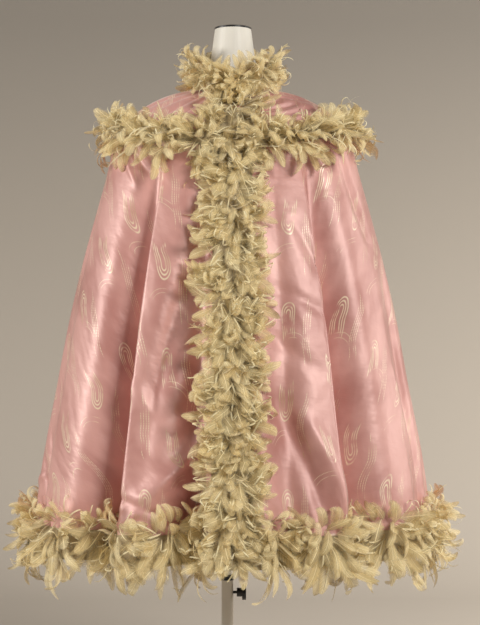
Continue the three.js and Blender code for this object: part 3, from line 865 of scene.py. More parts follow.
class Cape(Oval):
    """The cape's outer surface with its folds and creases."""

    def __init__(self) -> None:
        """Reads the rings and finds the angles of the front tapes' edges at the hem."""
        super().__init__(SHELL)
        self.hem_side = SHELL[-1].side * MM
        self.tape_edge = math.asin(FRONT_TAPE / self.hem_side)
        self.centre = SEAM_GAP / 2 / self.hem_side

    def angle_of(self, place: np.ndarray, run: np.ndarray) -> np.ndarray:
        """The angle of a place, which keeps its distance from the front edge beside it.

        Args:
            place: Places round the cape: angles at the hem.
            run: How far down the cape, of the same shape.

        Returns:
            The angles at those heights.
        """
        wrapped = np.where(place > math.pi, FULL_TURN - place, np.abs(place))
        side = self.column("side", run)
        half_gap = SEAM_GAP / 2 / side
        edge = np.arcsin(np.clip(self.hem_side * np.sin(np.minimum(wrapped, self.tape_edge)) / side, -1, 1))
        tape = np.arcsin(np.clip(FRONT_TAPE / side, -1, 1))
        share = (wrapped - self.tape_edge) / (SIDE_SEAM - self.tape_edge)
        ahead = tape + (SIDE_SEAM - half_gap - tape) * share
        behind_share = (wrapped - SIDE_SEAM) / (math.pi - SIDE_SEAM)
        behind = SIDE_SEAM + half_gap + (math.pi - SIDE_SEAM - half_gap) * behind_share
        angle = np.where(wrapped < self.tape_edge, edge, np.where(wrapped <= SIDE_SEAM, ahead, behind))
        return np.where(place > math.pi, FULL_TURN - angle, np.where(place < 0, -angle, angle))

    def fold_depth(self, angle: np.ndarray, run: np.ndarray) -> np.ndarray:
        """How deep the valleys are.

        Args:
            angle: Angles round the cape, in radians.
            run: How far down the cape, of a shape that goes with the angles.

        Returns:
            The depths, in metres.
        """
        total = np.zeros(np.broadcast(angle, run).shape)
        for fold in FOLDS:
            grown = np.clip((run - fold.start) / (2 - fold.start), 0, 1) ** FOLD_GROWTH
            away = (np.degrees(angle) - fold.angle + 180) % 360 - 180
            near = (away + fold.reach) / (fold.reach + fold.lean)
            far = (fold.reach - away) / (fold.reach - fold.lean)
            share = np.clip(np.where(away < fold.lean, near, far), 0, 1)
            wide = away < fold.lean if fold.lean > 0 else away > fold.lean
            share = np.where(wide, share**LATE_FALL, share**EARLY_FALL)
            total += fold.depth * MM * grown * (0.5 - 0.5 * np.cos(math.pi * share))
        return total

    def at_angle(self, angle: np.ndarray, run: np.ndarray) -> np.ndarray:
        """Points of the folded cloth.

        Args:
            angle: Angles round the cape, in radians.
            run: How far down the cape, of the same shape.

        Returns:
            The points, in the part's frame.
        """
        points = self.on_ring(angle, run)
        radius = np.hypot(points[..., 0], points[..., 1])
        shrink = 1 - self.fold_depth(angle, run) / np.maximum(radius, 1e-6)
        points = points * np.stack([shrink, shrink, np.ones_like(shrink)], axis=-1)
        return points + np.array([FORM_X, 0, 0])

    def point(self, across: np.ndarray, down: np.ndarray) -> np.ndarray:
        """Points of the folded cloth at places and runs, in the part's frame."""
        return self.at_angle(self.angle_of(across, down), down)

    def crease_depth(self, points: np.ndarray) -> np.ndarray:
        """How deep the creases are at points of the cloth.

        Args:
            points: The points.

        Returns:
            Depths in metres, negative on ridges.
        """
        total = np.zeros(points.shape[:-1])
        for crease in CREASES:
            t = np.linspace(0, 1, 15)
            angle = crease.angle + (crease.end_angle - crease.angle) * t + crease.bow * np.sin(math.pi * t)
            line = self.at_angle(np.radians(angle), crease.run + (crease.end_run - crease.run) * t)
            centre = line.mean(axis=0)
            reach = np.ptp(line, axis=0).max() + 4 * crease.width * MM
            near = np.linalg.norm(points - centre, axis=-1) < reach
            total[near] += self.along_line(points[near], line, crease.width * MM) * crease.depth * MM
        return total

    @staticmethod
    def along_line(points: np.ndarray, line: np.ndarray, width: float) -> np.ndarray:
        """How much a line weighs at points.

        Args:
            points: The points.
            line: The line's own points.
            width: The distance at which it fades.

        Returns:
            1 in the middle of the line, fading to 0 away from it and towards its ends.
        """
        best = np.full(len(points), np.inf)
        place = np.zeros(len(points))
        for i in range(len(line) - 1):
            step = line[i + 1] - line[i]
            share = np.clip((points - line[i]) @ step / (step @ step), 0, 1)
            distance = np.linalg.norm(points - line[i] - share[:, None] * step, axis=-1)
            closer = distance < best
            best[closer] = distance[closer]
            place[closer] = (i + share[closer]) / (len(line) - 1)
        return np.exp(-((best / width) ** 2)) * np.sin(math.pi * place) ** 0.7


# Meshes


def mesh_object(
    name: str,
    points: np.ndarray,
    faces: np.ndarray,
    maps: dict[str, np.ndarray],
    materials: Sequence[bpy.types.Material],
    slots: np.ndarray | None = None,
) -> bpy.types.Object:
    """Makes a smooth mesh object.

    Args:
        name: The object's name.
        points: Its points.
        faces: Its four-sided faces, as rows of point numbers.
        maps: Texture places for each point, by the map's name.
        materials: Its materials.
        slots: The material number of each face.

    Returns:
        The object, in the scene.
    """
    mesh = bpy.data.meshes.new(name)
    mesh.vertices.add(len(points))
    mesh.vertices.foreach_set("co", points.astype(np.float32).ravel())
    mesh.loops.add(faces.size)
    mesh.loops.foreach_set("vertex_index", faces.astype(np.int32).ravel())
    mesh.polygons.add(len(faces))
    mesh.polygons.foreach_set("loop_start", np.arange(0, faces.size, 4, dtype=np.int32))
    mesh.polygons.foreach_set("use_smooth", np.ones(len(faces), bool))
    if slots is not None:
        mesh.polygons.foreach_set("material_index", slots.astype(np.int32))
    mesh.update(calc_edges=True)
    mesh.validate()
    for label, places in maps.items():
        layer = mesh.uv_layers.new(name=label)
        layer.data.foreach_set("uv", places[faces.ravel()].astype(np.float32).ravel())
    for material in materials:
        mesh.materials.append(material)
    made = bpy.data.objects.new(name, mesh)
    bpy.context.scene.collection.objects.link(made)
    return made


def grid_faces(rows: int, columns: int, start: int = 0) -> np.ndarray:
    """The faces of a grid of points.

    Args:
        rows: Its rows of points.
        columns: Its columns of points.
        start: The number of its first point.

    Returns:
        The faces, as rows of four point numbers.
    """
    first = start + np.arange(rows - 1)[:, None] * columns + np.arange(columns - 1)[None, :]
    first = first.ravel()
    return np.stack([first, first + columns, first + columns + 1, first + 1], axis=1)


def cloth_places(points: np.ndarray, grain: int) -> np.ndarray:
    """Texture places that keep the cloth's own lengths.

    Args:
        points: A grid of points, row by row down the cloth.
        grain: The column that lies along the cloth's grain.

    Returns:
        For each point, its distance from the grain column and down the cloth, in metres.
    """
    across = np.zeros(points.shape[:2])
    across[:, 1:] = np.cumsum(np.linalg.norm(np.diff(points, axis=1), axis=-1), axis=1)
    across = across - across[:, grain, None]
    tangent = unit(np.gradient(points, axis=1))
    step = np.diff(points, axis=0)
    sideways = np.sum(step * tangent[1:], axis=-1, keepdims=True) * tangent[1:]
    down = np.zeros(points.shape[:2])
    down[1:] = np.cumsum(np.linalg.norm(step - sideways, axis=-1), axis=0)
    return np.stack([across, -down], axis=-1).reshape(-1, 2)


def cloth_wall(
    name: str,
    frames: Frames,
    lift: np.ndarray | float,
    thick: float,
    materials: Sequence[bpy.types.Material],
    grain: int = 0,
) -> bpy.types.Object:
    """A thin closed wall of cloth over a grid.

    Args:
        name: The object's name.
        frames: The grid's points and directions.
        lift: How far the outer face stands off the points.
        thick: The wall's thickness.
        materials: The outer material and the inner one.
        grain: The column that lies along the cloth's grain.

    Returns:
        The object.
    """
    lift = np.broadcast_to(np.asarray(lift, float), frames.point.shape[:2])[..., None]
    outer = frames.point + frames.out * lift
    inner = outer - frames.out * thick
    rows, columns = outer.shape[:2]
    count = rows * columns
    front = grid_faces(rows, columns)
    back = grid_faces(rows, columns, count)[:, ::-1]
    ids = np.arange(count).reshape(rows, columns)
    rim = np.concatenate([ids[0, ::-1], ids[1:, 0], ids[-1, 1:], ids[-2:0:-1, -1]])
    after = np.roll(rim, -1)
    sides = np.stack([rim, rim + count, after + count, after], axis=1)[:, ::-1]
    places = cloth_places(outer, grain)
    slots = np.concatenate([np.zeros(len(front)), np.ones(len(back)), np.zeros(len(sides))])
    points = np.concatenate([outer.reshape(-1, 3), inner.reshape(-1, 3)])
    faces = np.concatenate([front, back, sides])
    maps = {"Cloth": np.concatenate([places, places])}
    return mesh_object(name, points, faces, maps, materials, np.minimum(slots, len(materials) - 1))


def dress(made: bpy.types.Object, body: str, slot: str, *nodes: str) -> bpy.types.Object:
    """Sets a piece on its body and hides the solids that it stands for.

    Args:
        made: The piece.
        body: The body that it rides.
        slot: The slot of its finish; not used.
        nodes: The solids that it stands for.

    Returns:
        The piece.
    """
    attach(made, body)
    if nodes:
        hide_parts(*nodes)
    faces = sum(len(polygon.vertices) - 2 for polygon in made.data.polygons)
    LOG.info("%s: %d triangles", made.name, faces)
    return made


# The cloth


@dataclass
class Panel:
    """One cut panel of the cape, on the surface between two places and two runs.

    flat is the box round the cut piece and area the cut's own, in metres. grain is the column
    of points that lies along the cloth's grain.
    """

    name: str
    stands_for: str
    start: float
    end: float
    top: float
    bottom: float
    columns: int
    rows: int
    flat: tuple[float, float]
    area: float
    grain: int = 0


class Cloth:
    """The yoke, the body and the collar, with their lining."""

    thickness = 2.2 * MM
    turn_in = 1.1 * MM
    turn_reach = 4.0 * MM

    def __init__(self, cape: Cape, effects: Effects) -> None:
        """Keeps the surface, makes the two silks and lists the panels."""
        self.cape = cape
        self.silks = [SILK.make(effects), LINING.make(effects)]
        left = (cape.centre, SIDE_SEAM)
        right = (-SIDE_SEAM, -cape.centre)
        back = (SIDE_SEAM + SEAM_SHARE, FULL_TURN - SIDE_SEAM - SEAM_SHARE)
        yoke = (0.002, 0.9994)
        body = (1.0004, 2.0)
        yoke_front = (0.36, 0.27)
        body_front = (0.86, 0.92)
        self.panels = [
            Panel("yoke_left_front", "yoke_front_left", *left, *yoke, 110, 70, yoke_front, 0.055),
            Panel("yoke_right_front", "yoke_front_right", *right, *yoke, 110, 70, yoke_front, 0.055, -1),
            Panel("yoke_back_panel", "yoke_back", *back, *yoke, 110, 40, (0.66, 0.2), 0.09, 55),
            Panel("body_left_front", "body_front_left", *left, *body, 190, 150, body_front, 0.6),
            Panel("body_right_front", "body_front_right", *right, *body, 190, 150, body_front, 0.6, -1),
            Panel("body_back_panel", "body_back", *back, *body, 280, 130, (1.9, 0.92), 1.3, 140),
        ]

    def edge_turn(self, points: np.ndarray) -> np.ndarray:
        """How far the cloth turns in beside a seam.

        Args:
            points: The panel's grid of points.

        Returns:
            The depth at each point, in metres.
        """

        def from_ends(lengths: np.ndarray) -> np.ndarray:
            """The smaller of the distances to the two ends of each line."""
            run = np.concatenate([np.zeros_like(lengths[:1]), np.cumsum(lengths, axis=0)])
            return np.minimum(run, run[-1:] - run)

        sideways = from_ends(np.linalg.norm(np.diff(points, axis=1), axis=-1).T).T
        endways = from_ends(np.linalg.norm(np.diff(points, axis=0), axis=-1))
        nearest = np.minimum(sideways, endways)
        return self.turn_in * np.exp(-((nearest / self.turn_reach) ** 2))

    @staticmethod
    def packed(start: float, end: float, count: int) -> np.ndarray:
        """Steps that are close together at both ends, so that a seam has its turned-in edge.

        Args:
            start: The first step.
            end: The last.
            count: How many there are.

        Returns:
            The steps.
        """
        closeness = 0.6
        t = np.linspace(0, 1, count)
        return start + (end - start) * (t - closeness * np.sin(FULL_TURN * t) / FULL_TURN)

    def build_panel(self, panel: Panel) -> bpy.types.Object:
        """Builds one panel.

        Args:
            panel: The panel's limits and sizes.

        Returns:
            The panel's object.
        """
        places = self.packed(panel.start, panel.end, panel.columns)
        runs = self.packed(panel.top, panel.bottom, panel.rows)
        frames = self.cape.frame(places[None, :], runs[:, None])
        lift = -self.cape.crease_depth(frames.point) - self.edge_turn(frames.point)
        made = cloth_wall(panel.name, frames, lift, self.thickness, self.silks, panel.grain)
        return dress(made, "form", "silk", panel.stands_for)

    def build_collar(self) -> bpy.types.Object:
        """Builds the stand-up collar."""
        band = Oval(COLLAR)
        opening = math.radians(5)
        angles = np.linspace(opening, FULL_TURN - opening, 140)
        frames = band.frame(angles[None, :], np.linspace(0.0, 0.994, 16)[:, None])
        lift = -self.edge_turn(frames.point)
        made = cloth_wall("stand_collar", frames, lift, self.thickness, self.silks)
        return dress(made, "form", "silk", "collar")

    def build(self) -> None:
        """Builds every panel and the collar."""
        for panel in self.panels:
            self.build_panel(panel)
        self.build_collar()


# The feathers


@dataclass(frozen=True)
class Spray:
    """How the feathers of one row of a band grow.

    Lengths and widths are in millimetres, angles in degrees. heading is from straight down the
    cloth, and at 180 it points up. lift is off the cloth, bend curves the feather back towards
    it, and curl is the extra turn of its tip. hooked is the share whose tips curl outwards, downy
    is how soft the edges are, and bright is added to the tone.
    """

    heading: tuple[float, float]
    lift: tuple[float, float]
    length: tuple[float, float]
    width: tuple[float, float]
    bend: tuple[float, float]
    curl: tuple[float, float]
    hooked: float = 0.35
    downy: float = 0.3
    bright: float = 0.0


class Plumage:
    """Feathers gathered into one piece, each a cupped and curled vane."""

    rows = 12
    columns = 5

    def __init__(self, name: str, seed: int) -> None:
        """Starts an empty piece with its own random numbers."""
        self.name = name
        self.rng = np.random.default_rng(seed)
        self.points: list[np.ndarray] = []
        self.vane: list[np.ndarray] = []
        self.kind: list[np.ndarray] = []

    def between(self, limits: tuple[float, float], count: int) -> np.ndarray:
        """Random numbers between two limits."""
        return self.rng.uniform(limits[0], limits[1], count)

    @staticmethod
    def outline(t: np.ndarray) -> np.ndarray:
        """A feather's half width along its length, as a share of its widest half width.

        Args:
            t: Places along it, from 0 at the root to 1 at the tip.

        Returns:
            The shares.
        """
        widest = 0.42
        taper = 0.59
        grown = np.sin(np.clip(t / widest, 0, 1) * math.pi / 2) ** 0.8
        tapered = np.sqrt(np.clip(1 - np.clip((t - widest) / taper, 0, 1) ** 2.2, 0, 1))
        return np.maximum(grown * tapered, 0.08)

    def grow(self, frames: Frames, heading: np.ndarray, spray: Spray) -> None:
        """Grows a feather at each point.

        Args:
            frames: The points with their directions.
            heading: Each feather's heading in degrees.
            spray: How they grow.
        """
        count = len(frames.point)
        turn = np.radians(heading)[:, None]
        lift = np.radians(self.between(spray.lift, count))[:, None]
        flat = frames.below * np.cos(turn) + frames.along * np.sin(turn)
        forward = flat * np.cos(lift) + frames.out * np.sin(lift)
        face = frames.out * np.cos(lift) - flat * np.sin(lift)
        length = self.between(spray.length, count) * MM
        half = self.between(spray.width, count) * MM / 2
        hooked = self.rng.uniform(0, 1, count) < spray.hooked
        bend = np.radians(self.between(spray.bend, count)) * np.where(hooked, 0.55, 1.0)
        curl = np.radians(self.between(spray.curl, count)) * np.where(hooked, -1.25, 1.0)
        t = np.linspace(0, 1, self.rows) ** 0.7
        tip = np.clip((t - 0.55) / 0.45, 0, 1) ** 1.5
        theta = bend[:, None] * t + curl[:, None] * tip
        sine, cosine = np.sin(theta)[..., None], np.cos(theta)[..., None]
        heads = forward[:, None] * cosine - face[:, None] * sine
        faces = face[:, None] * cosine + forward[:, None] * sine
        steps = np.diff(t, prepend=0)[None, :, None] * length[:, None, None]
        centre = frames.point[:, None] + np.cumsum(heads * steps, axis=1)
        side = unit(np.cross(forward, face))[:, None]
        twist = self.between((-0.8, 0.8), count)[:, None, None] * t[None, :, None]
        aside = side * np.cos(twist) + faces * np.sin(twist)
        up = faces * np.cos(twist) - side * np.sin(twist)
        sway = self.between((-0.34, 0.34), count) * length
        centre = centre + side * sway[:, None, None] * t[None, :, None] ** 2
        s = np.linspace(-1, 1, self.columns)
        cup = self.between((0.15, 0.75), count) * np.where(hooked, -1, 1)
        angle = cup[:, None, None] * s[None, None, :]
        width = half[:, None] * self.outline(t)[None, :]
        ripple = 1 + 0.05 * np.sin(t[None, :] * self.between((6, 12), count)[:, None] + count)
        width = (width * ripple)[..., None]
        bowed = np.abs(cup)[:, None, None]
        sign = np.sign(cup)[:, None, None]
        sideways = (width * np.sin(angle) / bowed * sign)[..., None]
        upward = (-sign * width * (1 - np.cos(angle)) / bowed)[..., None]
        points = centre[:, :, None] + aside[:, :, None] * sideways + up[:, :, None] * upward
        self.points.append(points)
        shape = points.shape[:3]
        across = np.broadcast_to((s * 0.5 + 0.5)[None, None, :], shape)
        along = np.broadcast_to(t[None, :, None], shape)
        self.vane.append(np.stack([across, along], axis=-1))
        tone = np.broadcast_to((self.rng.uniform(0, 1, count) + spray.bright)[:, None, None], shape)
        downy = np.broadcast_to((spray.downy * self.rng.uniform(0.4, 1.4, count))[:, None, None], shape)
        self.kind.append(np.stack([tone, downy], axis=-1))

    def build(self, material: bpy.types.Material) -> bpy.types.Object:
        """Joins the feathers into one mesh.

        Args:
            material: The feathers' material.

        Returns:
            The object.
        """
        points = np.concatenate(self.points)
        count = len(points)
        one = grid_faces(self.rows, self.columns)
        faces = (one[None] + (np.arange(count) * self.rows * self.columns)[:, None, None]).reshape(-1, 4)
        maps = {
            "Vane": np.concatenate(self.vane).reshape(-1, 2),
            "Kind": np.concatenate(self.kind).reshape(-1, 2),
        }
        return mesh_object(self.name, points.reshape(-1, 3), faces, maps, [material])


@dataclass(frozen=True)
class Row:
    """One row of feathers along a band: where it runs, how many, and how they fan in bunches.

    bunch is the angle that one bunch takes, in radians, and fan how far its feathers turn to
    each side, in degrees.
    """

    down: tuple[float, float]
    count: int
    bunch: float
    fan: float
    spray: Spray


class Feathers:
    """The five feather trims and the tapes that they are sewn to.

    front_rows gives the feathers in a row, how far they turn outwards, and how they grow.
    """

    collar_rows = (
        Row((0.04, 0.2), 50, 0.5, 50,
            Spray((180, 180), (25, 75), (44, 64), (20, 28), (0, 60), (20, 160))),
        Row((0.2, 0.5), 46, 0.6, 90,
            Spray((90, 270), (40, 80), (44, 64), (20, 28), (10, 70), (20, 160))),
        Row((0.45, 0.75), 46, 0.5, 60,
            Spray((0, 0), (30, 65), (44, 60), (20, 28), (10, 60), (20, 150))),
        Row((0.05, 0.75), 150, 0.5, 180,
            Spray((0, 0), (35, 85), (48, 70), (3, 4.6), (30, 130), (60, 280), 0.6, 0, 2)),
        Row((0.1, 0.7), 80, 0.5, 180,
            Spray((0, 0), (45, 85), (38, 56), (30, 44), (10, 50), (0, 70), 0.5, 0.8, 0.3)),
    )
    shoulder_rows = (
        Row((0.87, 0.94), 90, 0.36, 70,
            Spray((180, 180), (58, 88), (42, 58), (20, 28), (20, 80), (20, 160), 0.4)),
        Row((0.88, 0.98), 110, 0.40, 110,
            Spray((0, 0), (45, 82), (60, 84), (21, 30), (20, 75), (20, 170), 0.4)),
        Row((0.95, 1.03), 150, 0.36, 50,
            Spray((0, 0), (18, 58), (64, 94), (21, 30), (10, 60), (10, 150), 0.35)),
        Row((0.89, 1.02), 310, 0.3, 180,
            Spray((0, 0), (30, 84), (56, 88), (3, 4.6), (30, 130), (60, 280), 0.5, 0, 2)),
        Row((0.89, 1.02), 200, 0.3, 150,
            Spray((0, 0), (35, 80), (48, 72), (32, 46), (20, 70), (0, 70), 0.5, 0.8, 0.3)),
    )
    hem_rows = (
        Row((1.915, 1.95), 250, 0.2, 70,
            Spray((150, 210), (55, 85), (48, 66), (22, 30), (30, 90), (20, 150), 0.35)),
        Row((1.925, 1.97), 220, 0.22, 100,
            Spray((0, 0), (45, 78), (56, 78), (22, 30), (35, 85), (20, 150), 0.35)),
        Row((1.95, 2.0), 360, 0.2, 45,
            Spray((0, 0), (10, 50), (70, 98), (23, 32), (10, 60), (10, 140), 0.3)),
        Row((1.92, 2.0), 560, 0.2, 180,
            Spray((0, 0), (20, 74), (52, 80), (3, 4.6), (30, 130), (60, 280), 0.5, 0, 2)),
        Row((1.92, 2.0), 420, 0.2, 110,
            Spray((0, 0), (15, 72), (50, 78), (34, 48), (25, 75), (0, 70), 0.5, 0.75, 0.3)),
    )
    front_rows = (
        (190, 1.0, Spray((0, 0), (18, 60), (50, 76), (21, 29), (10, 65), (20, 170), 0.45)),
        (230, 1.5, Spray((0, 0), (25, 78), (50, 74), (3, 4.6), (30, 130), (60, 280), 0.6, 0, 2)),
        (200, 0.9, Spray((0, 0), (30, 78), (40, 60), (30, 44), (20, 60), (0, 70), 0.5, 0.8, 0.3)),
    )
    front_span = (0.12, 1.99)
    front_wave = 0.115
    tape_thickness = 2.0 * MM
    tape_lift = 2.6 * MM
    root_lift = 3.0 * MM

    def __init__(self, cape: Cape, effects: Effects) -> None:
        """Keeps the surface and makes the two finishes."""
        self.cape = cape
        self.material = FEATHER.make(effects)
        self.tape = TAPE.make(effects)

    def rooted(self, surface: Oval, across: np.ndarray, down: np.ndarray) -> Frames:
        """Frames on a surface, moved out to the tape's face.

        Args:
            surface: The surface.
            across: Places round it.
            down: Places down it, of the same shape.

        Returns:
            The points and directions of the feathers' roots.
        """
        frames = surface.frame(across, down)
        frames.point = frames.point + frames.out * self.root_lift
        return frames

    def ring_row(self, plumage: Plumage, surface: Oval, row: Row, start: float, end: float,
                 even: Places) -> None:
        """Grows one row of a band that runs round the cape.

        Args:
            plumage: The piece that the feathers go into.
            surface: The surface that they stand on.
            row: The row.
            start: Where it starts.
            end: Where it ends.
            even: Gives places at even shares of the band's own length.
        """
        rng = plumage.rng
        share = (np.arange(row.count) + rng.uniform(0, 1, row.count)) / row.count
        down = rng.uniform(row.down[0], row.down[1], row.count)
        bunches = max(4, round((end - start) / row.bunch))
        phase = (share * bunches + 0.15 * np.sin(share * bunches * 2.1)) % 1 - 0.5
        across = even(np.clip(share - phase * 0.45 / bunches, 0, 1))
        middle = rng.uniform(row.spray.heading[0], row.spray.heading[1], row.count)
        side = np.where((middle > 90) & (middle < 270), -1, 1)
        heading = middle + side * phase * 2 * row.fan + rng.normal(0, 14, row.count)
        plumage.grow(self.rooted(surface, across, down), heading, row.spray)

    @staticmethod
    def even_places(surface: Oval, down: float, start: float, end: float) -> Places:
        """Places at even shares of a line round a surface.

        Args:
            surface: The surface.
            down: How far down it the line runs.
            start: Where the line starts.
            end: Where it ends.

        Returns:
            A function from shares of its length to places.
        """
        fine = np.linspace(start, end, 1400)
        points = surface.point(fine, np.full_like(fine, down))
        lengths = np.concatenate([[0], np.cumsum(np.linalg.norm(np.diff(points, axis=0), axis=-1))])
        return lambda share: np.interp(share * lengths[-1], lengths, fine)

    def strip(
        self,
        name: str,
        surface: Oval,
        across: np.ndarray,
        down: np.ndarray,
    ) -> bpy.types.Object:
        """The tape under a trim.

        Args:
            name: The tape's name.
            surface: The surface that it is sewn to.
            across: Places across it.
            down: Places down it.

        Returns:
            The tape's object.
        """
        frames = surface.frame(across[None, :], down[:, None])
        lift = self.tape_lift
        if isinstance(surface, Cape):
            lift = lift - surface.crease_depth(frames.point)
        made = cloth_wall(name, frames, lift, self.tape_thickness, [self.tape])
        return dress(made, "form", "feather")

    def close_collar(self, plumage: Plumage, band: Oval, count: int, heading: float) -> None:
        """Grows feathers that reach across the collar's opening from both of its ends.

        Args:
            plumage: The piece that they go into.
            band: The collar's surface.
            count: How many grow from each end.
            heading: Their heading towards the opening, in degrees.
        """
        spray = Spray((0, 0), (35, 75), (40, 58), (20, 28), (10, 60), (0, 130), 0.45)
        for side in (1, -1):
            angle = side * np.radians(plumage.rng.uniform(6, 17, count))
            down = plumage.rng.uniform(0.25, 0.95, count)
            turned = -side * (heading + plumage.rng.normal(0, 22, count))
            plumage.grow(self.rooted(band, angle, down), turned, spray)

    def build_collar(self) -> None:
        """Builds the collar's trim."""
        band = Oval(COLLAR)
        start = math.radians(7)
        end = FULL_TURN - start
        even = self.even_places(band, 0.3, start, end)
        plumage = Plumage("collar_plumes", 11)
        for row in self.collar_rows:
            self.ring_row(plumage, band, row, start, end, even)
        for count, heading in ((22, 150), (22, 60), (18, 20)):
            self.close_collar(plumage, band, count, heading)
        dress(plumage.build(self.material), "form", "feather", "collar_feathers")
        self.strip("collar_tape", band, np.linspace(start, end, 120), np.linspace(0.06, 0.7, 6))

    def build_shoulders(self) -> None:
        """Builds the trim over the yoke seam."""
        start = self.cape.tape_edge
        end = FULL_TURN - start
        even = self.even_places(self.cape, 0.95, start, end)
        plumage = Plumage("shoulder_plumes", 23)
        for row in self.shoulder_rows:
            self.ring_row(plumage, self.cape, row, start, end, even)
        dress(plumage.build(self.material), "form", "feather", "shoulder_feathers")
        self.strip("shoulder_tape", self.cape, np.linspace(start, end, 260), np.linspace(0.82, 0.999, 7))

    def build_hem(self) -> None:
        """Builds the trim round the hem."""
        start = self.cape.tape_edge
        end = FULL_TURN - start
        even = self.even_places(self.cape, 1.96, start, end)
        plumage = Plumage("hem_plumes", 37)
        for row in self.hem_rows:
            self.ring_row(plumage, self.cape, row, start, end, even)
        dress(plumage.build(self.material), "form", "feather", "hem_feathers")
        self.strip("hem_tape", self.cape, even(np.linspace(0, 1, 620)), np.linspace(1.945, 1.999, 6))

    def build_front(self, side: int, label: str) -> None:
        """Builds the trim down one front edge.

        Args:
            side: 1 for the wearer's left and -1 for their right.
            label: The side's name.
        """
        cape = self.cape
        plumage = Plumage(f"front_plumes_{label}", 50 + side)
        rng = plumage.rng
        fine = np.linspace(*self.front_span, 600)
        points = cape.point(np.full_like(fine, side * cape.tape_edge), fine)
        lengths = np.concatenate([[0], np.cumsum(np.linalg.norm(np.diff(points, axis=0), axis=-1))])
        for count, reach, spray in self.front_rows:
            share = (np.arange(count) + rng.uniform(0, 1, count)) / count
            down = np.interp(share * lengths[-1], lengths, fine)
            place = rng.uniform(0.02, 1.0, count)
            half_wave = 0 if side > 0 else math.pi
            wave = np.sin(share * lengths[-1] / self.front_wave * FULL_TURN + half_wave)
            heading = side * (90 * place * reach - 6 + 26 * wave + rng.normal(0, 28, count))
            frames = self.rooted(cape, side * place * cape.tape_edge, down)
            plumage.grow(frames, heading, spray)
        dress(plumage.build(self.material), "form", "feather", f"front_feathers_{label}")
        edge = np.linspace(cape.centre, cape.tape_edge, 6)
        across = edge if side > 0 else -edge[::-1]
        self.strip(f"front_tape_{label}", cape, across, np.linspace(0.34, 2.0, 240))

    def build(self) -> None:
        """Builds every trim."""
        self.build_collar()
        self.build_shoulders()
        self.build_front(1, "left")
        self.build_front(-1, "right")
        self.build_hem()


# The stand


@dataclass
class Stand:
    """The dress form and its stand: solids carried over from the part, each with its finish."""

    finishes: dict[str, Plain]

    def build(self, effects: Effects) -> None:
        """Puts each solid's finish on it.

        Args:
            effects: The shared shader groups.
        """
        made: dict[str, bpy.types.Material] = {}
        for node, finish in self.finishes.items():
            if finish.name not in made:
                made[finish.name] = finish.make(effects)
            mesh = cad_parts[node].data
            mesh.materials.clear()
            mesh.materials.append(made[finish.name])
            LOG.info("%s: carried over", node)


# The studio


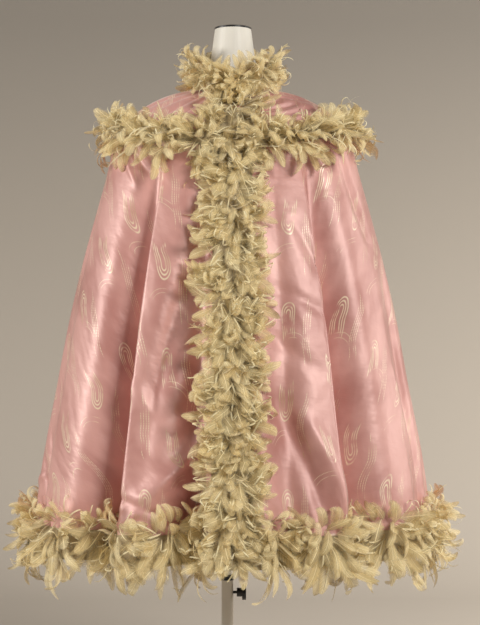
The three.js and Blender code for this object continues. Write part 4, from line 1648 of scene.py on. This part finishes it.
@dataclass
class Studio:
    """The floor with its sweep, the lights and the camera."""

    camera_at: tuple[float, float, float] = (0.027, -3.6, 0.888)
    lens: float = 96.4
    floor_colour: tuple[float, float, float, float] = (0.53, 0.475, 0.41, 1)
    # painted shade: the backdrop's colour high up, darker as though the light fell off upwards
    shaded_wall_colour: tuple[float, float, float, float] = (0.26, 0.235, 0.205, 1)
    shade_per_metre: float = 0.5
    floor_front: float = -7.0
    floor_back: float = 1.6
    sweep: float = 1.2
    wall_top: float = 6.0
    half_width: float = 6.0
    light_colour: tuple[float, float, float] = (1.0, 0.965, 0.91)

    def build_floor(self) -> None:
        """A pale floor that curves up into a backdrop, which isn't seen from behind, with painted shade that
        darkens the backdrop with height.
        """
        turn = np.linspace(0, math.pi / 2, 20)
        level = np.linspace(self.floor_front, self.floor_back, 12)
        upright = np.linspace(self.sweep + 0.1, self.wall_top, 6)
        curve_y = self.floor_back + self.sweep * np.sin(turn)
        curve_z = self.sweep - self.sweep * np.cos(turn)
        y = np.concatenate([level, curve_y, np.full_like(upright, self.floor_back + self.sweep)])
        z = np.concatenate([np.zeros_like(level), curve_z, upright])
        x = np.linspace(-self.half_width, self.half_width, 13)
        shape = (len(y), len(x))
        columns = (np.broadcast_to(values, shape) for values in (x, y[:, None], z[:, None]))
        points = np.stack(list(columns), axis=-1).reshape(-1, 3)
        material = bpy.data.materials.new("backdrop_paper")
        material.use_nodes = True
        shader = material.node_tree.nodes["Principled BSDF"]
        shader.inputs["Roughness"].default_value = 0.9
        graph = Graph(material.node_tree)
        high = graph.parts(graph.node("ShaderNodeNewGeometry").outputs["Position"])[2]
        # painted shade: the colour darkens with height from the floor's colour to the shaded wall colour
        painted_shade = graph.mix(high * self.shade_per_metre, self.floor_colour, self.shaded_wall_colour)
        graph.feed(shader.inputs["Base Color"], painted_shade)
        behind = Field(graph, graph.node("ShaderNodeNewGeometry").outputs["Backfacing"])
        graph.feed(shader.inputs["Alpha"], 1.0 - behind)
        floor = mesh_object("studio_floor", points, grid_faces(*shape)[:, ::-1], {}, [material])

    def add_light(self, name: str, at: tuple[float, float, float], aim: tuple[float, float, float],
                  size: float, power: float) -> None:
        """Adds a soft square light.

        Args:
            name: The light's name.
            at: Where it stands.
            aim: The point that it faces.
            size: The length of its side.
            power: Its power in watts.
        """
        light = bpy.data.lights.new(name, "AREA")
        light.shape = "SQUARE"
        light.size = size
        light.energy = power
        light.color = self.light_colour
        made = bpy.data.objects.new(name, light)
        bpy.context.scene.collection.objects.link(made)
        made.location = at
        made.rotation_euler = (Vector(aim) - Vector(at)).to_track_quat("-Z", "Y").to_euler()

    def build_camera(self) -> None:
        """The camera, level at the cape's half height."""
        data = bpy.data.cameras.new("photo_camera")
        data.lens = self.lens
        data.sensor_width = 36.0
        data.sensor_fit = "AUTO"
        camera = bpy.data.objects.new("photo_camera", data)
        bpy.context.scene.collection.objects.link(camera)
        camera.location = self.camera_at
        camera.rotation_euler = (math.pi / 2, 0, 0)
        bpy.context.scene.camera = camera

    def build(self) -> None:
        """Builds the floor, the lights and the camera."""
        scene = bpy.context.scene
        self.build_floor()
        self.add_light("key_light", (2.7, -3.45, 2.9), (0.0, 0.0, 0.95), 1.5, 155)
        self.add_light("side_light", (-4.0, -1.1, 2.2), (0.0, 0.0, 0.9), 1.6, 138)
        self.add_light("sweep_light", (2.3, 0.5, 1.3), (0.9, 2.6, 0.3), 1.6, 50)
        world = bpy.data.worlds.new("studio_air")
        world.use_nodes = True
        background = world.node_tree.nodes["Background"]
        background.inputs["Color"].default_value = (1.0, 0.96, 0.91, 1)
        background.inputs["Strength"].default_value = 0.075
        scene.world = world
        scene.view_settings.view_transform = "Standard"
        self.build_camera()


def main() -> None:
    """Builds the cape, its stand and the studio."""
    logging.basicConfig(level=logging.INFO, format="%(name)s %(message)s")
    effects = Effects()
    cape = Cape()
    Cloth(cape, effects).build()
    Feathers(cape, effects).build()
    Stand({
        "dress_form": COVER,
        "neck_cap": BLACK,
        "form_flange": BLACK,
        "inner_rod": STEEL,
        "pole_tube": PAINT,
        "tube_collar": BLACK,
        "clamp_knob": BLACK,
        "base_socket": PAINT,
        "base_plate": PAINT,
    }).build(effects)
    Studio().build()


if __name__ == "__main__":
    main()
